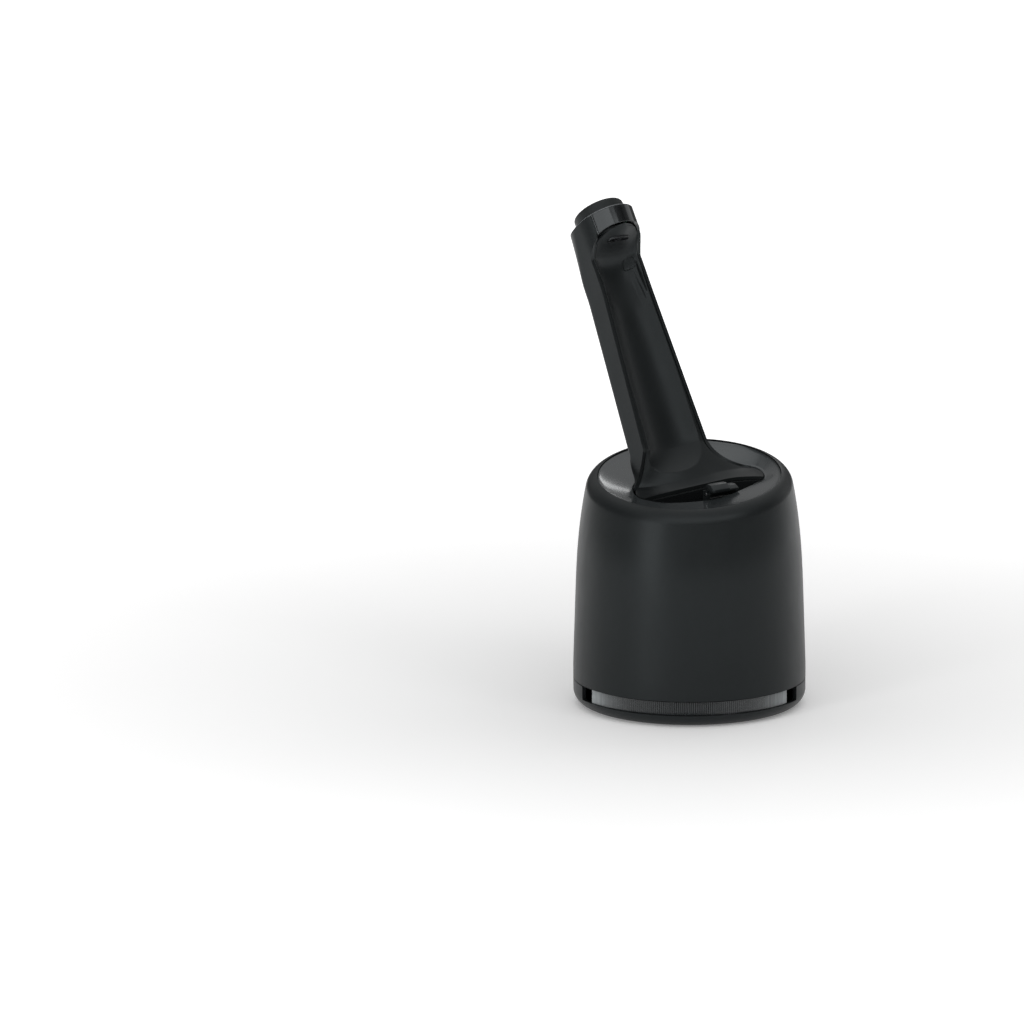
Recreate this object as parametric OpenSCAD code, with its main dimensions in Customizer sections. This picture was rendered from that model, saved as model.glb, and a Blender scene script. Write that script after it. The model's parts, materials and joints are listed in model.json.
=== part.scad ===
// Cleaning station for an electric shaver, in millimetres.
// Origin: centre of the round underside, +Z up, -Y is the side with the cartridge window.
// The arm that holds the shaver stands in a vertical plane turned by arm_turn about Z.

/* [Base pan] */
// Outer radius of the base pan
base_r = 62.4; // [58:0.1:70]
// Height of the seam between pan and housing
seam_z = 14.4; // [12:0.1:18]
// Radius of the rounded lower edge of the pan
pan_round = 8; // [6:0.5:11]
// Wall thickness of the pan
pan_wall = 2.2; // [1.6:0.1:3]
// Thickness of the pan floor
pan_floor = 2.4; // [1.6:0.1:3.4]
// Half of the angle that the cartridge window opens
window_half_angle = 66; // [62:1:75]
// Height of the pan's front lip
lip_z = 6.8; // [5:0.1:7.5]
// How far the rubber feet stand below the pan
foot_proud = 0.4; // [0.2:0.1:2]
// Radius of one rubber foot
foot_r = 6; // [4:0.5:9]
// How far the feet's centres lie inside the pan's edge
foot_inset = 20.4; // [19:0.1:28]

/* [Cartridge] */
// Distance between the front of the cartridge drum and the pan's wall
cartridge_gap = 4.2; // [3.2:0.1:8]
// How far the drum sits forward of the centre
cartridge_forward = 8; // [6:0.5:9]
// Height of the cartridge drum without its lid
cartridge_h = 38; // [30:1:39]
// Wall thickness of the cartridge
cartridge_wall = 1.6; // [1.2:0.1:2.4]
// How far the ribbed front band lies inside the pan's outer radius
band_inset = 1.4; // [0.9:0.1:2.9]
// Half of the angle that the ribbed band covers
band_half_angle = 58.4; // [50:0.2:61]
// Height of the lower edge of the ribbed band
band_z = 6.9; // [6:0.1:8]
// Gap between the band's upper edge and the housing seam
band_drop = 0.5; // [0.3:0.1:1.5]
// Number of fine vertical ribs on the band
band_ribs = 108; // [40:1:120]
// Depth of one rib
band_rib_depth = 0.5; // [0.3:0.1:0.8]
// Thickness of the cartridge lid
lid_t = 3; // [2:0.2:4]
// Radius of the lid's opening for the suction tube
intake_hole_r = 6; // [5:0.5:8]
// Radius of the lid's opening for the drain spout
drain_hole_r = 9; // [8:0.5:11]
// Thickness of the filter pad under the lid
filter_t = 5; // [3:0.5:8]

/* [Housing shell] */
// Wall thickness of the housing
shell_t = 2.2; // [1.8:0.1:3]
// Gap at the seam between pan and housing
seam_gap = 0.4; // [0.2:0.1:1]
// Inward taper of the side for each millimetre of height
side_taper = 0.035; // [0:0.005:0.06]
// Height where the taper starts
taper_from_z = 22; // [15:1:40]
// How far the side draws in towards the shoulder
draw_in = 3.9; // [0:0.1:6]
// Height where the side starts to draw in
draw_from_z = 60; // [50:1:80]
// Height over which the side draws in by draw_in
draw_span = 60; // [50:1:80]
// How sharply the side draws in
draw_power = 2.66; // [1.5:0.02:4]
// Radius of the rounded shoulder
shoulder_r = 7.9; // [5:0.1:9]
// Height of the centre of the shoulder's rounding
shoulder_z = 117; // [110:0.5:125]
// Slope of the top, rising towards the back
top_tilt = 11.4; // [0:0.2:16]
// Turn of the slope's direction away from the back, towards the right
top_turn = 4; // [-10:1:10]
// Height where the slope starts to build up in the side wall
tilt_from_z = 74; // [60:1:85]

/* [Dish and bowl] */
// Gap between the shoulder's inner edge and the dish
dish_gap = 0.39; // [0.2:0.02:1.2]
// How far the dish edge lies below the shoulder's inner edge
dish_step = 0.9; // [0.3:0.1:2]
// How far the dish falls from its edge to the mouth
dish_fall = 4.6; // [2:0.1:8]
// Wall thickness of dish and bowl
dish_t = 1.8; // [1.4:0.1:2.4]
// Half of the mouth's width
mouth_half_w = 38.5; // [36:0.5:40]
// Distance of the mouth's front from the arm plane's origin
mouth_front = 25; // [22:0.5:28]
// How far forward of the origin the mouth's side tips lie
mouth_tip_fwd = 15; // [12:0.5:18]
// Height of the bowl's bottom inside
bowl_floor_z = 84; // [80:0.5:92]
// Share of the mouth's width left at the bowl's bottom
bowl_floor_share = 0.8; // [0.74:0.02:0.9]
// Inner radius of the drain spout
drain_r = 3.4; // [2.5:0.1:3.6]

/* [Arm] */
// Turn of the arm plane away from the front
arm_turn = 42; // [0:1:60]
// Lean of the arm from the vertical
arm_lean = 26; // [18:0.5:30]
// Height of the arm's reference level at its foot
arm_z = 120; // [116:0.5:124]
// Distance of the arm's front face behind the centre at that level
arm_back = 2; // [0:0.5:4]
// Width of the arm's front face at its foot
arm_w_foot = 48.4; // [44:0.2:50]
// Width of the arm's front face below the head
arm_w_top = 34.6; // [32:0.2:38]
// Length of the arm's straight part along its lean
arm_len = 114; // [90:1:120]
// Length over which the foot flares out
flare_len = 21; // [15:1:28]
// Depth of the arm from its front face to its back, below the head
arm_depth = 19; // [16:0.5:22]
// The same depth at the arm's foot
arm_depth_foot = 17.4; // [14:0.2:20]
// Wall thickness of the arm's shells
arm_t = 2; // [1.6:0.1:2.6]
// Width of the flat rim beside the trough
rim_w = 2.7; // [2:0.1:4]
// Depth of the trough in the front face
trough_depth = 4.6; // [3:0.1:6]

/* [Head] */
// Lean of the head from the vertical
head_lean = 38; // [30:0.5:42]
// Height of the centre of the head's upper rim
head_z = 252.9; // [240:0.5:256]
// Distance of that centre behind the origin
head_back = 69.6; // [60:0.5:74]
// Radius of the head at its upper rim
head_r = 17.8; // [16:0.1:19]
// Growth of the head's radius for each millimetre down
head_flare = -0.01; // [-0.08:0.005:0.04]
// How far below the upper rim the head starts to join the arm
head_wide_at = 13; // [10:0.5:15]
// How far the head's lower end is set back to meet the arm
neck_back = 3.6; // [0:0.2:5]
// Height of the glossy collar at its front
collar_front_h = 9.5; // [8:0.5:12]
// Radius of the round cut under the collar
arch_r = 27.8; // [25:0.2:32]
// How far the back shell wraps forward round the head beside the collar
wrap = 9.3; // [4:0.1:11]
// Height of the ring between collar and button
ring_h = 1.2; // [0.8:0.1:2]
// Radius of the start button
button_r = 14.2; // [12:0.1:15]
// Height of the start button above the ring
button_h = 6.2; // [4:0.1:8]
// Travel of the start button
button_travel = 1.6; // [1:0.1:2.4]

/* [Contacts and tabs] */
// Length of the contact block in the head
contact_l = 14; // [12:0.5:18]
// Width of the contact block
contact_w = 6; // [5:0.5:7]
// How far the contact block stands out of the ceiling
contact_h = 3.2; // [2:0.1:5]
// Distance between the two contact pins
pin_pitch = 7; // [6:0.5:9]
// Radius of one contact pin
pin_r = 1.1; // [0.8:0.05:1.4]
// Travel of one contact pin
pin_travel = 1.2; // [0.8:0.1:1.6]
// Height of one side tab along the arm
tab_h = 7; // [5:0.5:10]
// Depth of one side tab
tab_w = 5; // [4:0.5:6]
// Travel of one side tab
tab_travel = 1; // [0.6:0.1:1.4]

/* [Lift and latch] */
// Travel of the housing for a change of cartridge
lift_travel = 32; // [24:1:34]
// Radius of one guide post
post_r = 3.5; // [3:0.1:4]
// Distance of each guide post from the middle plane
post_x = 20; // [18:0.5:24]
// How far the guide posts stand inside the pan's edge
post_inset = 14.9; // [14.4:0.1:16.4]
// Running clearance of posts and shafts
run_gap = 0.05; // [0.03:0.01:0.08]
// Wire radius of a lift spring
spring_wire_r = 0.5; // [0.4:0.05:0.6]
// Width of the release button
release_w = 17; // [14:0.5:20]
// Height of the release button
release_h = 11; // [9:0.5:13]
// Height of the release button's middle
release_z = 41; // [36:0.5:46]
// Travel of the release button
release_travel = 3; // [2:0.1:3.2]

/* [Pump] */
// Height of the top face of the inner chassis
chassis_z = 58; // [56:0.5:60]
// Thickness of the inner chassis
chassis_t = 2.6; // [2:0.1:3.4]
// Radius of the pump motor
motor_r = 11; // [9:0.5:13]
// Height of the pump motor
motor_h = 16; // [12:0.5:20]
// Radius of the impeller
impeller_r = 6.5; // [5:0.1:7]
// Radius of the pump shaft
shaft_r = 1; // [0.8:0.1:1.5]
// Inner radius of the suction tube
tube_r = 2; // [1.5:0.1:2.5]

/* [Power socket] */
// Height of the power socket's middle
socket_z = 25; // [23:0.5:27]
// Width of the power socket's opening
socket_w = 9; // [8:0.5:11]
// Height of the power socket's opening
socket_h = 6.6; // [6:0.1:8]
// Depth of the power socket
socket_depth = 9; // [7:0.5:10]

/* [Hidden] */
$fn = 96;
eps = 0.01;
body_colour = "#26292a";
pan_colour = "#2b2e2f";
gloss_colour = "#3a3e40";
clear_colour = "#7d8a8e";
inner_colour = "#8b8f91";
metal_colour = "#b9bcbf";

// Levels, places and gaps that several sub-parts share
fit_gap = 0.3;
foot_ring_r = base_r - foot_inset;
cartridge_r = base_r - pan_wall - cartridge_forward - cartridge_gap;
band_r = base_r - band_inset;
post_y = base_r - post_inset;
pan_z = foot_proud;
floor_z = pan_z + pan_floor;
cartridge_low_z = floor_z;
cartridge_top_z = cartridge_low_z + cartridge_h;
lid_top_z = cartridge_top_z + lid_t;
ceiling_t = 1.6;

// ---- helpers -------------------------------------------------------------

function smooth(t) = let(c = max(0, min(1, t))) c * c * (3 - 2 * c);
function mix(a, b, t) = a + (b - a) * t;

// One point of a closed curve through the points of a loop
function loop_point(p, i, t) =
    let(n = len(p), a = p[(i + n - 1) % n], b = p[i % n], c = p[(i + 1) % n], d = p[(i + 2) % n])
    0.5 * ((2 * b) + (c - a) * t + (2 * a - 5 * b + 4 * c - d) * t * t
        + (3 * b - a - 3 * c + d) * t * t * t);

// A closed curve through the points of a loop, with steps points for each span
function loop_curve(p, steps) = [for (i = [0:len(p) - 1], k = [0:steps - 1]) loop_point(p, i, k / steps)];

// A solid between rings of points, closed at both ends by fans about their middles
module skin(rings) {
    n = len(rings[0]);
    m = len(rings);
    low = [for (a = [0:2]) [for (p = rings[0]) p[a]] * [for (p = rings[0]) 1] / n];
    high = [for (a = [0:2]) [for (p = rings[m - 1]) p[a]] * [for (p = rings[m - 1]) 1] / n];
    points = concat([for (r = rings) each r], [low, high]);
    sides = [for (i = [0:m - 2], j = [0:n - 1]) let(k = (j + 1) % n)
        each [[i * n + j, (i + 1) * n + j, (i + 1) * n + k], [i * n + j, (i + 1) * n + k, i * n + k]]];
    caps = [for (j = [0:n - 1]) let(k = (j + 1) % n)
        each [[m * n, j, k], [m * n + 1, (m - 1) * n + k, (m - 1) * n + j]]];
    polyhedron(points = points, faces = concat(sides, caps));
}

// A closed tube of rings: the last ring joins the first
module ring_skin(rings) {
    n = len(rings[0]);
    m = len(rings);
    points = [for (r = rings) each r];
    sides = [for (i = [0:m - 1], j = [0:n - 1]) let(k = (j + 1) % n, q = (i + 1) % m)
        each [[i * n + j, q * n + j, q * n + k], [i * n + j, q * n + k, i * n + k]]];
    polyhedron(points = points, faces = sides);
}

// Rise of the sloped top at a place given in the part's own axes
function top_rise(p) = (p[0] * sin(top_turn) + p[1] * cos(top_turn)) * tan(top_tilt);
// A place given in the arm's axes, x to the arm's right and y to its back, in the part's own axes
function to_part(p) = [p[0] * cos(arm_turn) - p[1] * sin(arm_turn), p[0] * sin(arm_turn) + p[1] * cos(arm_turn)];
function arm_rise(p) = top_rise(to_part(p));

// ---- housing -------------------------------------------------------------

shell_low_z = seam_z + seam_gap / 2;
shoulder_start = 11;
shoulder_end = 80;
function side_r(z) = base_r - side_taper * max(0, z - taper_from_z)
    - draw_in * pow(max(0, z - draw_from_z) / draw_span, draw_power);
shoulder_start_z = shoulder_z + shoulder_r * sin(shoulder_start);
shoulder_centre_r = side_r(shoulder_start_z) - shoulder_r * cos(shoulder_start);
rim_r = shoulder_centre_r + shoulder_r * cos(shoulder_end);
rim_z = shoulder_z + shoulder_r * sin(shoulder_end);
dish_r = rim_r - dish_gap;
rim_depth = 4;
function tilt_share(z) = smooth((z - tilt_from_z) / (shoulder_z - tilt_from_z));
function shell_point(r, z, a) = [r * cos(a), r * sin(a), z + top_rise([r * cos(a), r * sin(a)]) * tilt_share(z)];

side_steps = 9;
shoulder_steps = 5;
shell_turns = 72;
function shell_profile() = concat(
    [for (i = [0:side_steps]) let(z = mix(shell_low_z, shoulder_start_z, i / side_steps)) [side_r(z), z]],
    [for (i = [1:shoulder_steps]) let(a = mix(shoulder_start, shoulder_end, i / shoulder_steps))
        [shoulder_centre_r + shoulder_r * cos(a), shoulder_z + shoulder_r * sin(a)]],
    [[rim_r, rim_z - rim_depth]],
    [for (i = [shoulder_steps - 1:-1:1]) let(a = mix(shoulder_start, shoulder_end, i / shoulder_steps))
        [shoulder_centre_r + (shoulder_r - shell_t) * cos(a), shoulder_z + (shoulder_r - shell_t) * sin(a)]],
    [for (i = [side_steps:-1:0]) let(z = mix(shell_low_z, shoulder_start_z, i / side_steps))
        [side_r(z) - shell_t, z]]);

module housing_wall() {
    profile = shell_profile();
    ring_skin([for (i = [0:shell_turns - 1]) let(a = -i * 360 / shell_turns)
        [for (p = profile) shell_point(p[0], p[1], a)]]);
}

module outer_housing() {
    color(body_colour) difference() {
        housing_wall();
        translate([-release_w / 2 - button_gap, side_r(release_z) - shell_t * 2, release_z - release_h / 2 - button_gap])
            cube([release_w + 2 * button_gap, shell_t * 3, release_h + 2 * button_gap]);
        translate([-socket_shell_w / 2, side_r(socket_z) - shell_t * 2, socket_z - socket_shell_h / 2])
            cube([socket_shell_w, shell_t * 3, socket_shell_h]);
    }
}
button_gap = 0.3;
socket_wall = 1.4;
socket_shell_w = socket_w + 2 * socket_wall;
socket_shell_h = socket_h + 2 * socket_wall;

// ---- mouth outline, dish and bowl ---------------------------------------

foot_half_w = arm_w_foot / 2;
foot_back = arm_back + arm_depth_foot / cos(arm_lean);

// The mouth seen from above, in the arm's axes, from its front round its right side
function mouth_points(g) = let(right = [
        [0, -mouth_front + g],
        [mouth_half_w * 0.52, -mouth_front + 0.8 + g],
        [mouth_half_w * 0.86 - g, -mouth_tip_fwd - 5.6 + g],
        [mouth_half_w - g, -mouth_tip_fwd],
        [mouth_half_w * 0.9 - g, -mouth_tip_fwd + 8],
        [foot_half_w + 3.6 - g, -1],
        [foot_half_w + 0.4 - g, foot_back * 0.42],
        [foot_half_w * 0.8 - g, foot_back * 0.84 - g],
        [foot_half_w * 0.42, foot_back - g]])
    concat(right, [[0, foot_back + 0.4 - g]], [for (i = [len(right) - 1:-1:1]) [-right[i][0], right[i][1]]]);
mouth_steps = 4;
function mouth_curve(g) = loop_curve(mouth_points(g), mouth_steps);

mouth_z = rim_z - dish_step - dish_fall;
dish_edge_z = rim_z - dish_step;
dish_radial = 4;
dish_power = 0.8;

// One point of the dish: t is 0 at its outer edge and 1 at the mouth
function dish_point(m, t, drop) = let(
        a = atan2(m[1], m[0]),
        edge = [dish_r * cos(a), dish_r * sin(a)],
        p = mix(edge, m, t),
        z = mix(dish_edge_z, mouth_z, pow(t, dish_power)) - drop)
    [p[0], p[1], z + arm_rise(p)];

module dish_ring() {
    curve = mouth_curve(0);
    color(gloss_colour) rotate([0, 0, arm_turn])
        ring_skin([for (i = [len(curve) - 1:-1:0]) let(m = curve[i]) concat(
            [for (k = [0:dish_radial]) dish_point(m, k / dish_radial, 0)],
            [for (k = [dish_radial:-1:0]) dish_point(m, k / dish_radial, dish_t)])]);
}

// The bowl's outline: the mouth's front, closed at the back by the line of the arm's front shell
bowl_back = 6;
function bowl_points(g) = let(right = [
        [0, -mouth_front + g],
        [mouth_half_w * 0.52, -mouth_front + 0.8 + g],
        [mouth_half_w * 0.86 - g, -mouth_tip_fwd - 5.6 + g],
        [mouth_half_w - g - 0.4, -mouth_tip_fwd + 1],
        [mouth_half_w * 0.86 - g, -mouth_tip_fwd + 7 - g],
        [mouth_half_w * 0.5, -bowl_back + 1 - g]])
    concat(right, [[0, -bowl_back + 2 - g]], [for (i = [len(right) - 1:-1:1]) [-right[i][0], right[i][1]]]);
function bowl_curve(g) = loop_curve(bowl_points(g), 5);

bowl_centre = [0, -(mouth_front + bowl_back) / 2];
bowl_levels = 6;
bowl_top_drop = dish_t + 0.05;
function bowl_share(t) = mix(1, bowl_floor_share, pow(t, 2.2));
function bowl_ring(g, t, floor_z) = [for (p = bowl_curve(g)) let(
        q = bowl_centre + (p - bowl_centre) * bowl_share(t),
        top = mouth_z - bowl_top_drop + arm_rise(p))
    [q[0], q[1], mix(top, floor_z, t)]];

module cleaning_bowl() {
    outer = [for (k = [0:bowl_levels]) bowl_ring(fit_gap, k / bowl_levels, bowl_floor_z - dish_t)];
    inner = [for (k = [0:bowl_levels]) bowl_ring(fit_gap + dish_t, k / bowl_levels, bowl_floor_z)];
    rings = concat([for (k = [bowl_levels:-1:0]) outer[k]], inner);
    color(gloss_colour) rotate([0, 0, arm_turn]) difference() {
        skin(rings);
        translate([bowl_centre[0], bowl_centre[1], bowl_floor_z - 3 * dish_t]) cylinder(r = drain_r, h = 6 * dish_t);
    }
}

// Strainer over the drain, in the bottom of the bowl
grid_r = drain_r + 1.5;
grid_t = 1;
grid_hole_r = 0.7;
grid_holes = 8;
module drain_grid() {
    color(metal_colour) at_drain() translate([0, 0, bowl_floor_z]) difference() {
        cylinder(r = grid_r, h = grid_t);
        for (i = [0:grid_holes - 1]) rotate([0, 0, i * 360 / grid_holes])
            translate([drain_r - grid_hole_r - 0.6, 0, -eps]) cylinder(r = grid_hole_r, h = grid_t + 2 * eps, $fn = 24);
        translate([0, 0, -eps]) cylinder(r = grid_hole_r, h = grid_t + 2 * eps, $fn = 24);
    }
}

module at_drain() { rotate([0, 0, arm_turn]) translate([bowl_centre[0], bowl_centre[1], 0]) children(); }

// Spout from the bowl's drain into the cartridge
spout_wall = 1.4;
spout_flange_t = 1.6;
spout_flange_r = drain_r + spout_wall + 2;
spout_low_z = lid_top_z - lid_t / 2;
module drain_spout() {
    color(gloss_colour) at_drain() difference() {
        union() {
            translate([0, 0, spout_low_z]) cylinder(r = drain_r + spout_wall, h = bowl_floor_z - dish_t - spout_low_z);
            translate([0, 0, bowl_floor_z - dish_t - spout_flange_t]) cylinder(r = spout_flange_r, h = spout_flange_t);
        }
        translate([0, 0, spout_low_z - 1]) cylinder(r = drain_r, h = bowl_floor_z);
    }
}

// ---- clip at the bowl's front -------------------------------------------

clip_w = 17;
clip_offset = 3.5;
clip_pin_r = 0.9;
clip_barrel_r = 1.9;
clip_ear_t = 2.2;
clip_y = -mouth_front + fit_gap + dish_t + 1.7;
clip_rim_z = mouth_z + arm_rise([clip_offset, -mouth_front]);
clip_z = clip_rim_z + 1.2;
clip_block_h = 4.6;
clip_block_back = 2.4;
clip_block_front = 4.6;
clip_plate_low = 9;
clip_plate_t = 1.8;

module at_clip() { rotate([0, 0, arm_turn]) translate([clip_offset, clip_y, clip_z]) children(); }
module across(r, w) { translate([-w / 2, 0, 0]) rotate([0, 90, 0]) cylinder(r = r, h = w, $fn = 40); }

module bowl_clip() {
    color(gloss_colour) at_clip() difference() {
        union() {
            across(clip_barrel_r, clip_w);
            translate([-clip_w / 2, 0, 0]) rotate([90, 0, 90]) linear_extrude(clip_w) polygon([
                [clip_block_back, 1.0],
                [clip_block_back, clip_block_h - 0.6],
                [clip_block_back - 1.6, clip_block_h + 0.6],
                [-clip_block_front + 2.2, clip_block_h],
                [-clip_block_front, clip_block_h - 2],
                [-clip_block_front, 1.9],
                [-1, 1.0]]);
        }
        across(clip_pin_r + run_gap, clip_w + 2);
    }
}

module clip_bracket() {
    ear_low = clip_plate_low;
    ear_y = clip_barrel_r + 0.1;
    color(gloss_colour) at_clip() difference() {
        union() {
            for (side = [-1, 1])
                translate([side * (clip_w / 2 + fit_gap + clip_ear_t / 2) - clip_ear_t / 2, -0.9, -ear_low])
                    cube([clip_ear_t, clip_plate_t + 1.2, ear_low + clip_barrel_r]);
            translate([-clip_w / 2 - fit_gap - clip_ear_t, -0.9, -ear_low])
                cube([clip_w + 2 * fit_gap + 2 * clip_ear_t, clip_plate_t, ear_low - ear_y - 0.6]);
        }
        across(clip_pin_r + run_gap, clip_w + 4 * clip_ear_t);
    }
}

module clip_pin() {
    color(metal_colour) at_clip() across(clip_pin_r, clip_w + 2 * fit_gap + 2 * clip_ear_t);
}

// ---- base pan, feet and cartridge ---------------------------------------

pan_top_z = seam_z - seam_gap / 2;

module round_profile(r, low, round, top) {
    translate([0, low]) square([r - round, top - low]);
    translate([0, low + round]) square([r, top - low - round]);
    translate([r - round, low + round]) intersection() {
        circle(r = round);
        translate([0, -round]) square([round, round]);
    }
}

// A wedge about -Y, wide enough to cut right through the pan
module front_wedge(half, r, h) {
    linear_extrude(h) polygon(concat([[0, 0]], [for (i = [0:8]) let(a = -90 - half + i * half / 4)
        [r * cos(a), r * sin(a)]]));
}

post_screw_r = 1.3;
screw_head_r = 2.8;
screw_head_h = 1.6;
post_screw_l = 10;
module base_pan() {
    color(pan_colour) difference() {
        union() {
            rotate_extrude() difference() {
                round_profile(base_r, pan_z, pan_round, pan_top_z);
                round_profile(base_r - pan_wall, floor_z, pan_round - pan_wall, pan_top_z + 1);
            }
            at_posts() translate([0, 0, floor_z - pan_floor / 2])
                cylinder(r = spring_r + spring_wire_r + seat_margin, h = post_seat_z - floor_z + pan_floor / 2);
        }
        translate([0, 0, lip_z]) front_wedge(window_half_angle, base_r * 1.4, seam_z);
        at_posts() translate([0, 0, pan_z - 1])
            cylinder(r = post_screw_r + run_gap, h = post_seat_z - pan_z + 2, $fn = 40);
        at_posts() translate([0, 0, pan_z - 1]) cylinder(r = screw_head_r + 0.2, h = screw_head_h + 1, $fn = 40);
        at_feet() translate([0, 0, pan_z - 1]) cylinder(r = foot_r + foot_margin, h = foot_recess + 1, $fn = 48);
    }
}

foot_recess = 0.9;
foot_margin = 0.2;
// One foot in the middle and four round it
module at_feet() {
    children();
    for (i = [0:3]) rotate([0, 0, 45 + i * 90]) translate([foot_ring_r, 0, 0]) children();
}
module rubber_feet() {
    color("#1c1d1e") at_feet() cylinder(r = foot_r, h = foot_proud + foot_recess, $fn = 48);
}

band_top_z = seam_z - band_drop;
band_wall = 1.8;
shelf_t = 2.4;
module at_cartridge() { translate([0, -cartridge_forward, 0]) children(); }

// The outline of the ribbed band, with its ribs on the outer side
module band_outline(inner_r) {
    polygon(concat(
        [for (i = [0:2 * band_ribs]) let(a = -90 - band_half_angle + i * band_half_angle / band_ribs,
            r = band_r - (i % 2 == 0 ? band_rib_depth : 0)) [r * cos(a), r * sin(a)]],
        [for (i = [24:-1:0]) let(a = -90 - band_half_angle + i * band_half_angle / 12)
            [inner_r * cos(a), inner_r * sin(a)]]));
}

drum_chamfer = max(1, cartridge_r + cartridge_forward - (base_r - pan_round) + fit_gap);
module cartridge_tank() {
    inner_r = cartridge_r - cartridge_wall;
    color(clear_colour) difference() {
        union() {
            at_cartridge() translate([0, 0, cartridge_low_z]) {
                cylinder(r1 = cartridge_r - drum_chamfer, r2 = cartridge_r, h = drum_chamfer);
                translate([0, 0, drum_chamfer]) cylinder(r = cartridge_r, h = cartridge_h - drum_chamfer);
            }
            translate([0, 0, band_z]) linear_extrude(shelf_t) band_outline(cartridge_r - cartridge_forward);
            translate([0, 0, band_z]) linear_extrude(band_top_z - band_z) band_outline(band_r - band_wall);
        }
        at_cartridge() translate([0, 0, cartridge_low_z + cartridge_wall]) {
            cylinder(r1 = inner_r - drum_chamfer, r2 = inner_r, h = drum_chamfer);
            translate([0, 0, drum_chamfer]) cylinder(r = inner_r, h = cartridge_h);
        }
    }
}

lid_plug_t = 1.6;
module cartridge_lid() {
    color("#5f6c70") difference() {
        at_cartridge() union() {
            translate([0, 0, cartridge_top_z]) cylinder(r = cartridge_r, h = lid_t);
            translate([0, 0, cartridge_top_z - lid_plug_t])
                cylinder(r = cartridge_r - cartridge_wall - 0.1, h = lid_plug_t + lid_t / 2);
        }
        translate([0, 0, cartridge_top_z - lid_plug_t - 1]) {
            at_drain() cylinder(r = drain_hole_r, h = lid_plug_t + lid_t + 2);
            at_pump() cylinder(r = intake_hole_r, h = lid_plug_t + lid_t + 2);
        }
    }
}

module cartridge_filter() {
    low_z = cartridge_top_z - lid_plug_t - filter_t;
    color("#c9c6b8") difference() {
        at_cartridge() translate([0, 0, low_z]) cylinder(r = cartridge_r - cartridge_wall - 0.2, h = filter_t);
        at_drain() translate([0, 0, low_z - 1]) cylinder(r = drain_r, h = filter_t + 2);
        at_pump() translate([0, 0, low_z - 1]) cylinder(r = intake_hole_r, h = filter_t + 2);
    }
}

// ---- lift: posts, sleeves, springs, latch -------------------------------

post_top_z = chassis_z + lift_travel + 2;
post_seat_z = floor_z + 1.4;
seat_margin = 0.4;
sleeve_wall = 2;
sleeve_r = post_r + run_gap + sleeve_wall;
sleeve_low_z = 48;
sleeve_top_z = chassis_z + 4;
module at_posts() { for (side = [-1, 1]) translate([side * post_x, post_y, 0]) children(); }

module guide_posts() {
    color(metal_colour) at_posts() difference() {
        translate([0, 0, post_seat_z]) cylinder(r = post_r, h = post_top_z - post_seat_z);
        translate([0, 0, post_seat_z - 1]) cylinder(r = post_screw_r + run_gap, h = post_screw_l, $fn = 40);
    }
}

module post_screws() {
    color(metal_colour) at_posts() {
        translate([0, 0, pan_z + 0.1]) cylinder(r = screw_head_r, h = screw_head_h - 0.1, $fn = 40);
        translate([0, 0, pan_z + screw_head_h / 2])
            cylinder(r = post_screw_r, h = post_seat_z + post_screw_l - 2 - pan_z - screw_head_h / 2, $fn = 40);
    }
}

module guide_sleeves() {
    color("#d8d6cf") at_posts() translate([0, 0, sleeve_low_z]) difference() {
        cylinder(r = sleeve_r, h = sleeve_top_z - sleeve_low_z);
        translate([0, 0, -1]) cylinder(r = post_r + run_gap, h = sleeve_top_z - sleeve_low_z + 2);
    }
}

spring_turns = 9;
spring_steps = 12;
spring_sides = 6;
spring_r = post_r + run_gap + 0.8 + spring_wire_r;
spring_seat_gap = 0.1;
spring_low_z = post_seat_z + spring_wire_r + spring_seat_gap;
spring_high_z = sleeve_low_z - spring_wire_r - spring_seat_gap;
function coil_ring(i) = let(
        a = i * 360 / spring_steps,
        z = mix(spring_low_z, spring_high_z, i / (spring_turns * spring_steps)))
    [for (j = [0:spring_sides - 1]) let(b = -j * 360 / spring_sides, r = spring_r + spring_wire_r * cos(b))
        [r * cos(a), r * sin(a), z + spring_wire_r * sin(b)]];
module lift_springs() {
    color(metal_colour) at_posts() skin([for (i = [0:spring_turns * spring_steps]) coil_ring(i)]);
}

// The slider is a frame round the catch post; its front bar lies before the post
slider_t = 2.5;
slider_half_w = 8.2;
slider_arm_w = 2.6;
slider_bar = 2;
catch_lead = 1.1;
catch_front_y = post_y - catch_lead;
catch_depth = 3;
catch_half_w = 4.5;
catch_w = 2 * catch_half_w;
slider_low_z = release_z - slider_t / 2;
slider_front_y = catch_front_y - fit_gap - slider_bar;
button_face_y = side_r(release_z);
flange_t = 1.3;
flange_margin = 1.4;
flange_top_z = release_z + release_h / 2 + flange_margin;
button_inner_y = sqrt(pow(side_r(flange_top_z) - shell_t, 2) - pow(release_w / 2 + flange_margin, 2))
    - flange_t - fit_gap;
catch_top_z = slider_low_z + slider_t + 3;
module latch_catch() {
    color(pan_colour) translate([-catch_half_w, catch_front_y, floor_z]) difference() {
        cube([catch_w, catch_depth, catch_top_z - floor_z]);
        translate([-1, -1, catch_top_z - floor_z]) rotate([-45, 0, 0]) cube([catch_w + 2, 3, 3]);
    }
}

module latch_slider() {
    length = button_inner_y - slider_front_y;
    color(inner_colour) translate([-slider_half_w, slider_front_y, slider_low_z]) difference() {
        cube([2 * slider_half_w, length, slider_t]);
        translate([slider_arm_w, slider_bar, -1])
            cube([2 * (slider_half_w - slider_arm_w), catch_depth + release_travel + 2 * fit_gap, slider_t + 2]);
    }
}

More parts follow.
